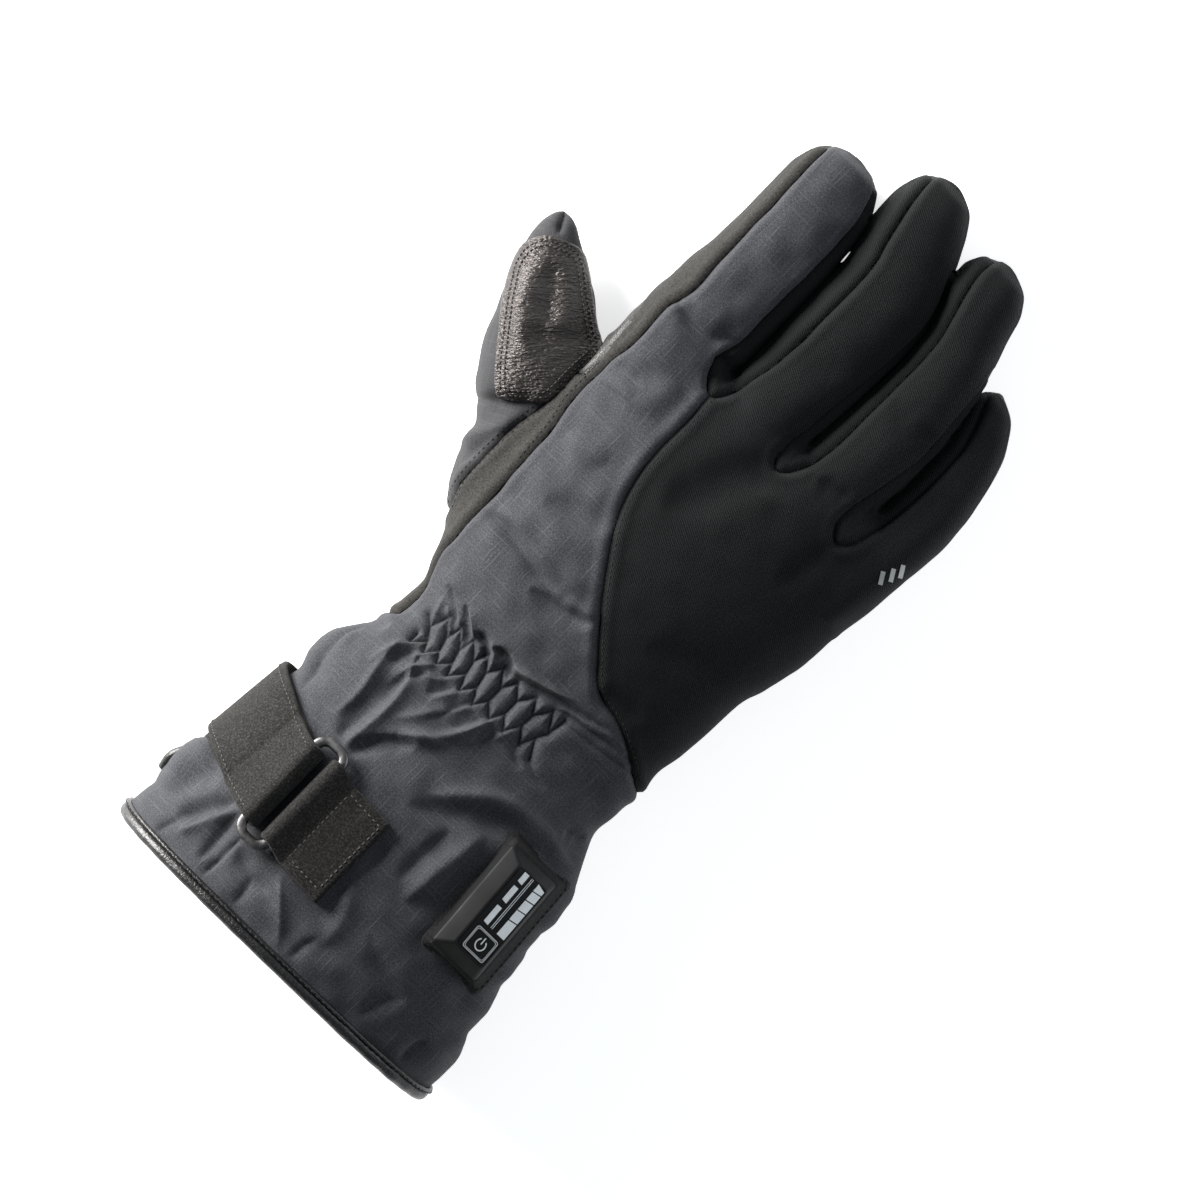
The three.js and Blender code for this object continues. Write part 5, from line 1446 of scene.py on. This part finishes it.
def make_knit(name, dark, light, period, sheen):
    """Knitted or coarsely woven cloth."""
    shader = Shader(name, specular_ior_level=0.15, sheen_weight=sheen, sheen_roughness=0.5)
    place = shader.place()
    specks = shader.noise(place, 1.0 / period, 3.0, 0.6)
    fine = shader.noise(place, 4.0, 2.0)
    height = shader.math("ADD", specks, shader.math("MULTIPLY", fine, 0.4))
    base = shader.ramp(height, (0.5, dark), (0.9, light))
    shader.finish(base, shader.ramp(specks, (0.3, 0.9), (0.8, 0.75)), shader.bump(height, 0.25, 0.8))


def make_leather(name, dark, light, grain, depth, roughness, coat, creases):
    """Grained leather: small cells with creases between them, and finer wrinkles across it."""
    shader = Shader(name, specular_ior_level=0.4, coat_weight=coat, coat_roughness=0.3)
    place = shader.place()
    warp = shader.add("TexNoise", {"Vector": place, "Scale": 0.5 / grain, "Detail": 2.0})["Color"]
    shifted = shader.add("VectorMath", {0: warp, 1: (grain * 1.2,) * 3}, operation="MULTIPLY")[0]
    place = shader.add("VectorMath", {0: place, 1: shifted})[0]
    cells = shader.add("TexVoronoi", {"Vector": place, "Scale": 1 / grain}, feature="DISTANCE_TO_EDGE")
    pebbles = shader.ramp(cells["Distance"], (0.0, 0.0), (0.25, 0.85), (0.5, 1.0))
    fine = shader.noise(shader.place(), 3.0, 3.0)
    height = shader.math("ADD", shader.math("MULTIPLY", pebbles, 0.8), shader.math("MULTIPLY", fine, 0.4))
    wrinkles = shader.noise(shader.place((1, 2.4, 1)), 0.22 / grain, 4.0, 0.6)
    wrinkles = shader.math("ABSOLUTE", shader.math("SUBTRACT", wrinkles, 0.5))
    wrinkles = shader.math("MULTIPLY", shader.math("MINIMUM", wrinkles, 0.12), creases)
    height = shader.math("ADD", height, wrinkles)
    worn = shader.noise(shader.place(), 0.08, 4.0)
    base = shader.mix(shader.ramp(worn, (0.4, 0.0), (0.75, 1.0)), (*dark, 1), (*light, 1))
    base = shader.mix(0.6, base, pebbles, "MULTIPLY")
    rough = shader.ramp(fine, (0.3, roughness + 0.12), (0.8, roughness - 0.06))
    shader.finish(base, rough, shader.bump(height, depth, 0.9))


def make_rippled_leather(name, dark, light):
    """Soft leather with fine ripples across the thumb."""
    shader = Shader(name, specular_ior_level=0.6, specular_tint=(1.0, 0.93, 0.9, 1))
    turned = shader.place(angle=-THUMB_ANGLE - 0.22)
    wide = shader.add("Mapping", {"Vector": turned, "Scale": (0.32, 1.35, 0.7)})[0]
    fine = shader.add("Mapping", {"Vector": turned, "Scale": (0.8, 2.4, 1.5)})[0]
    ripple = shader.noise(wide, 1.0, 2.0, 0.5)
    pores = shader.noise(fine, 1.0, 2.0, 0.5)
    height = shader.math("ADD", ripple, shader.math("MULTIPLY", pores, 0.45))
    worn = shader.noise(shader.place(), 0.09, 3.0)
    base = shader.ramp(height, (0.5, dark), (0.95, light))
    base = shader.mix(0.5, base, shader.ramp(worn, (0.35, 0.6), (0.7, 1.0)), "MULTIPLY")
    shader.finish(base, shader.ramp(pores, (0.3, 0.46), (0.7, 0.34)), shader.bump(height, 0.9, 1.0))


def make_suede():
    """Brushed suede with lighter and darker patches."""
    shader = Shader("suede", specular_ior_level=0.12, sheen_weight=0.05, sheen_roughness=0.5)
    grain = shader.noise(shader.place(), 1.6, 4.0, 0.7)
    patches = shader.noise(shader.place(), 0.12, 3.0)
    base = shader.ramp(grain, (0.34, (0.004, 0.0038, 0.0036)), (0.5, (0.012, 0.0116, 0.011)),
                       (0.68, (0.042, 0.04, 0.037)))
    base = shader.mix(0.4, base, shader.ramp(patches, (0.3, 0.55), (0.7, 1.0)), "MULTIPLY")
    shader.finish(base, shader.ramp(grain, (0.3, 0.95), (0.8, 0.8)), shader.bump(grain, 0.4, 1.0))


def make_metal():
    """Dark plated metal, a little worn."""
    shader = Shader("loop_metal", metallic=1.0)
    brushed = shader.noise(shader.place((1.0, 0.2, 1.0)), 2.4, 3.0)
    worn = shader.noise(shader.place(), 0.3, 4.0)
    base = shader.ramp(worn, (0.35, (0.045, 0.044, 0.045)), (0.7, (0.15, 0.147, 0.148)))
    shader.finish(base, shader.ramp(brushed, (0.3, 0.42), (0.8, 0.28)), shader.bump(brushed, 0.05, 0.6))


def make_plastic(name, dark, light, roughness, depth):
    """Moulded surface with a fine texture and faint handling marks."""
    shader = Shader(name, specular_ior_level=0.16)
    fine = shader.noise(shader.place(), 5.0, 2.0)
    marks = shader.noise(shader.place(), 0.12, 4.0)
    base = shader.ramp(marks, (0.35, dark), (0.75, light))
    rough = shader.ramp(marks, (0.3, roughness + 0.08), (0.8, roughness - 0.06))
    shader.finish(base, rough, shader.bump(fine, depth, 0.6))


def make_thread(name, dark, light):
    """Twisted sewing thread."""
    shader = Shader(name, specular_ior_level=0.25)
    twist = shader.threads(shader.place(angle=0.6), 0.3, "X")
    fuzz = shader.noise(shader.place(), 2.5, 2.0)
    base = shader.mix(fuzz, (*dark, 1), (*light, 1))
    shader.finish(base, shader.ramp(fuzz, (0.3, 0.8), (0.8, 0.6)), shader.bump(twist, 0.08, 0.7))


def make_materials():
    make_nylon("nylon", (0.0115, 0.0124, 0.0148), (0.0262, 0.0278, 0.0322), (0.064, 0.067, 0.0752), 0.55)
    make_softshell()
    make_knit("stretch", (0.007, 0.0068, 0.0063), (0.031, 0.0298, 0.0275), 0.6, 0.04)
    make_nylon("thumb_cloth", (0.012, 0.0122, 0.0135), (0.024, 0.0245, 0.0268), (0.05, 0.0508, 0.0545), 0.4)
    # Near-black backing: a real patch, made darker than the nylon as painted shade round the heat control.
    make_knit("backing", (0.0015, 0.0015, 0.0017), (0.008, 0.008, 0.0086), 1.0, 0.04)
    make_knit("lining", (0.003, 0.003, 0.0033), (0.012, 0.012, 0.013), 1.2, 0.08)
    make_leather("palm_leather", (0.014, 0.0128, 0.0124), (0.05, 0.0455, 0.044),
                 grain=0.9, depth=0.2, roughness=0.5, coat=0.1, creases=2.0)
    make_rippled_leather("grained_leather", (0.0042, 0.0037, 0.0035), (0.0185, 0.0162, 0.0154))
    make_leather("binding", (0.003, 0.003, 0.0032), (0.009, 0.0086, 0.009),
                 grain=1.3, depth=0.14, roughness=0.36, coat=0.25, creases=3.0)
    make_suede()
    make_metal()
    make_plastic("control_rubber", (0.0034, 0.0036, 0.0039), (0.006, 0.0063, 0.0067), 0.6, 0.04)
    make_plastic("control_gloss", (0.0022, 0.0024, 0.0028), (0.0042, 0.0044, 0.005), 0.45, 0.02)
    make_plastic("mark", (0.66, 0.69, 0.7), (0.78, 0.81, 0.82), 0.5, 0.03)
    make_plastic("reflective", (0.26, 0.27, 0.27), (0.4, 0.41, 0.41), 0.45, 0.05)
    make_thread("dark_thread", (0.002, 0.002, 0.0022), (0.016, 0.016, 0.017))
    make_thread("leather_thread", (0.01, 0.0089, 0.0084), (0.052, 0.0465, 0.044))
    make_thread("pale_thread", (0.032, 0.032, 0.031), (0.095, 0.095, 0.092))


# Camera straight above, turned to the glove's slant. The picture's middle and width are measured at a level.
VIEW_CENTRE = (-1.2, 153.6)
VIEW_WIDTH = 387.1
VIEW_LEVEL = 20.0
VIEW_TURN = 44.0
CAMERA_HEIGHT = 5000.0
SENSOR_WIDTH = 36.0


def make_camera():
    """Camera that sees the glove as wide as the picture's width."""
    data = bpy.data.cameras.new("camera")
    data.sensor_width = SENSOR_WIDTH
    data.lens = SENSOR_WIDTH * (CAMERA_HEIGHT - VIEW_LEVEL) / VIEW_WIDTH
    data.clip_end = 20.0
    camera = bpy.data.objects.new("camera", data)
    camera.location = Vector(ORIGIN) + Vector((*VIEW_CENTRE, CAMERA_HEIGHT)) * MM
    camera.rotation_euler = (0, 0, math.radians(VIEW_TURN))
    bpy.context.scene.collection.objects.link(camera)
    bpy.context.scene.camera = camera


def make_light(name, direction, distance, size, power, colour):
    """Soft square light facing the glove. The direction is to the right, up and towards the camera."""
    turn = math.radians(VIEW_TURN)
    right = Vector((math.cos(turn), math.sin(turn), 0))
    up = Vector((-math.sin(turn), math.cos(turn), 0))
    way = (right * direction[0] + up * direction[1] + Vector((0, 0, direction[2]))).normalized()
    data = bpy.data.lights.new(name, "AREA")
    data.shape = "SQUARE"
    data.size = size
    data.energy = power
    data.color = colour
    light = bpy.data.objects.new(name, data)
    centre = Vector(ORIGIN) + Vector((*VIEW_CENTRE, VIEW_LEVEL)) * MM
    light.location = centre + way * distance
    light.rotation_euler = way.to_track_quat("Z", "Y").to_euler()
    bpy.context.scene.collection.objects.link(light)


def make_floor():
    """Pale table under the glove."""
    reach, level = 6.0, -0.0006
    mesh = bpy.data.meshes.new("floor")
    corners = [(-reach, -reach, 0), (reach, -reach, 0), (reach, reach, 0), (-reach, reach, 0)]
    mesh.from_pydata(corners, [], [(0, 1, 2, 3)])
    floor = bpy.data.objects.new("floor", mesh)
    floor.location.z = level
    bpy.context.scene.collection.objects.link(floor)
    shader = Shader("floor", emission_color=(1, 1, 1, 1), emission_strength=0.67)
    faint = shader.noise(shader.place(), 0.01, 2.0)
    colour = shader.ramp(faint, (0.3, 0.86), (0.7, 0.88))
    shader.finish(colour, shader.ramp(faint, (0.3, 0.7), (0.7, 0.75)), shader.bump(faint, 0.01, 0.1))
    mesh.materials.append(materials["floor"])


def make_world():
    """Faint cool light from all round."""
    world = bpy.data.worlds.new("studio")
    world.use_nodes = True
    background = world.node_tree.nodes["Background"]
    background.inputs["Color"].default_value = (0.86, 0.93, 1.0, 1)
    background.inputs["Strength"].default_value = 0.24
    bpy.context.scene.world = world
    bpy.context.scene.view_settings.view_transform = "Standard"


make_camera()
make_world()
make_materials()
make_floor()
make_light("key", (-0.8, 0.7, 0.34), distance=1.6, size=0.9, power=122, colour=(1.0, 0.975, 0.95))
make_light("fill", (0.9, 0.1, 0.55), distance=1.8, size=1.2, power=13.5, colour=(0.9, 0.95, 1.0))

skin = make_skin()
ground = Ground(*joined(skin.values()))
make_lining()
make_thumb_patch(skin["thumb"])
make_hem()
make_binding_end()
make_loop()
make_strap()
make_tab(ground)
make_control(ground)
make_seam_stitches(ground)
make_stripes(ground)
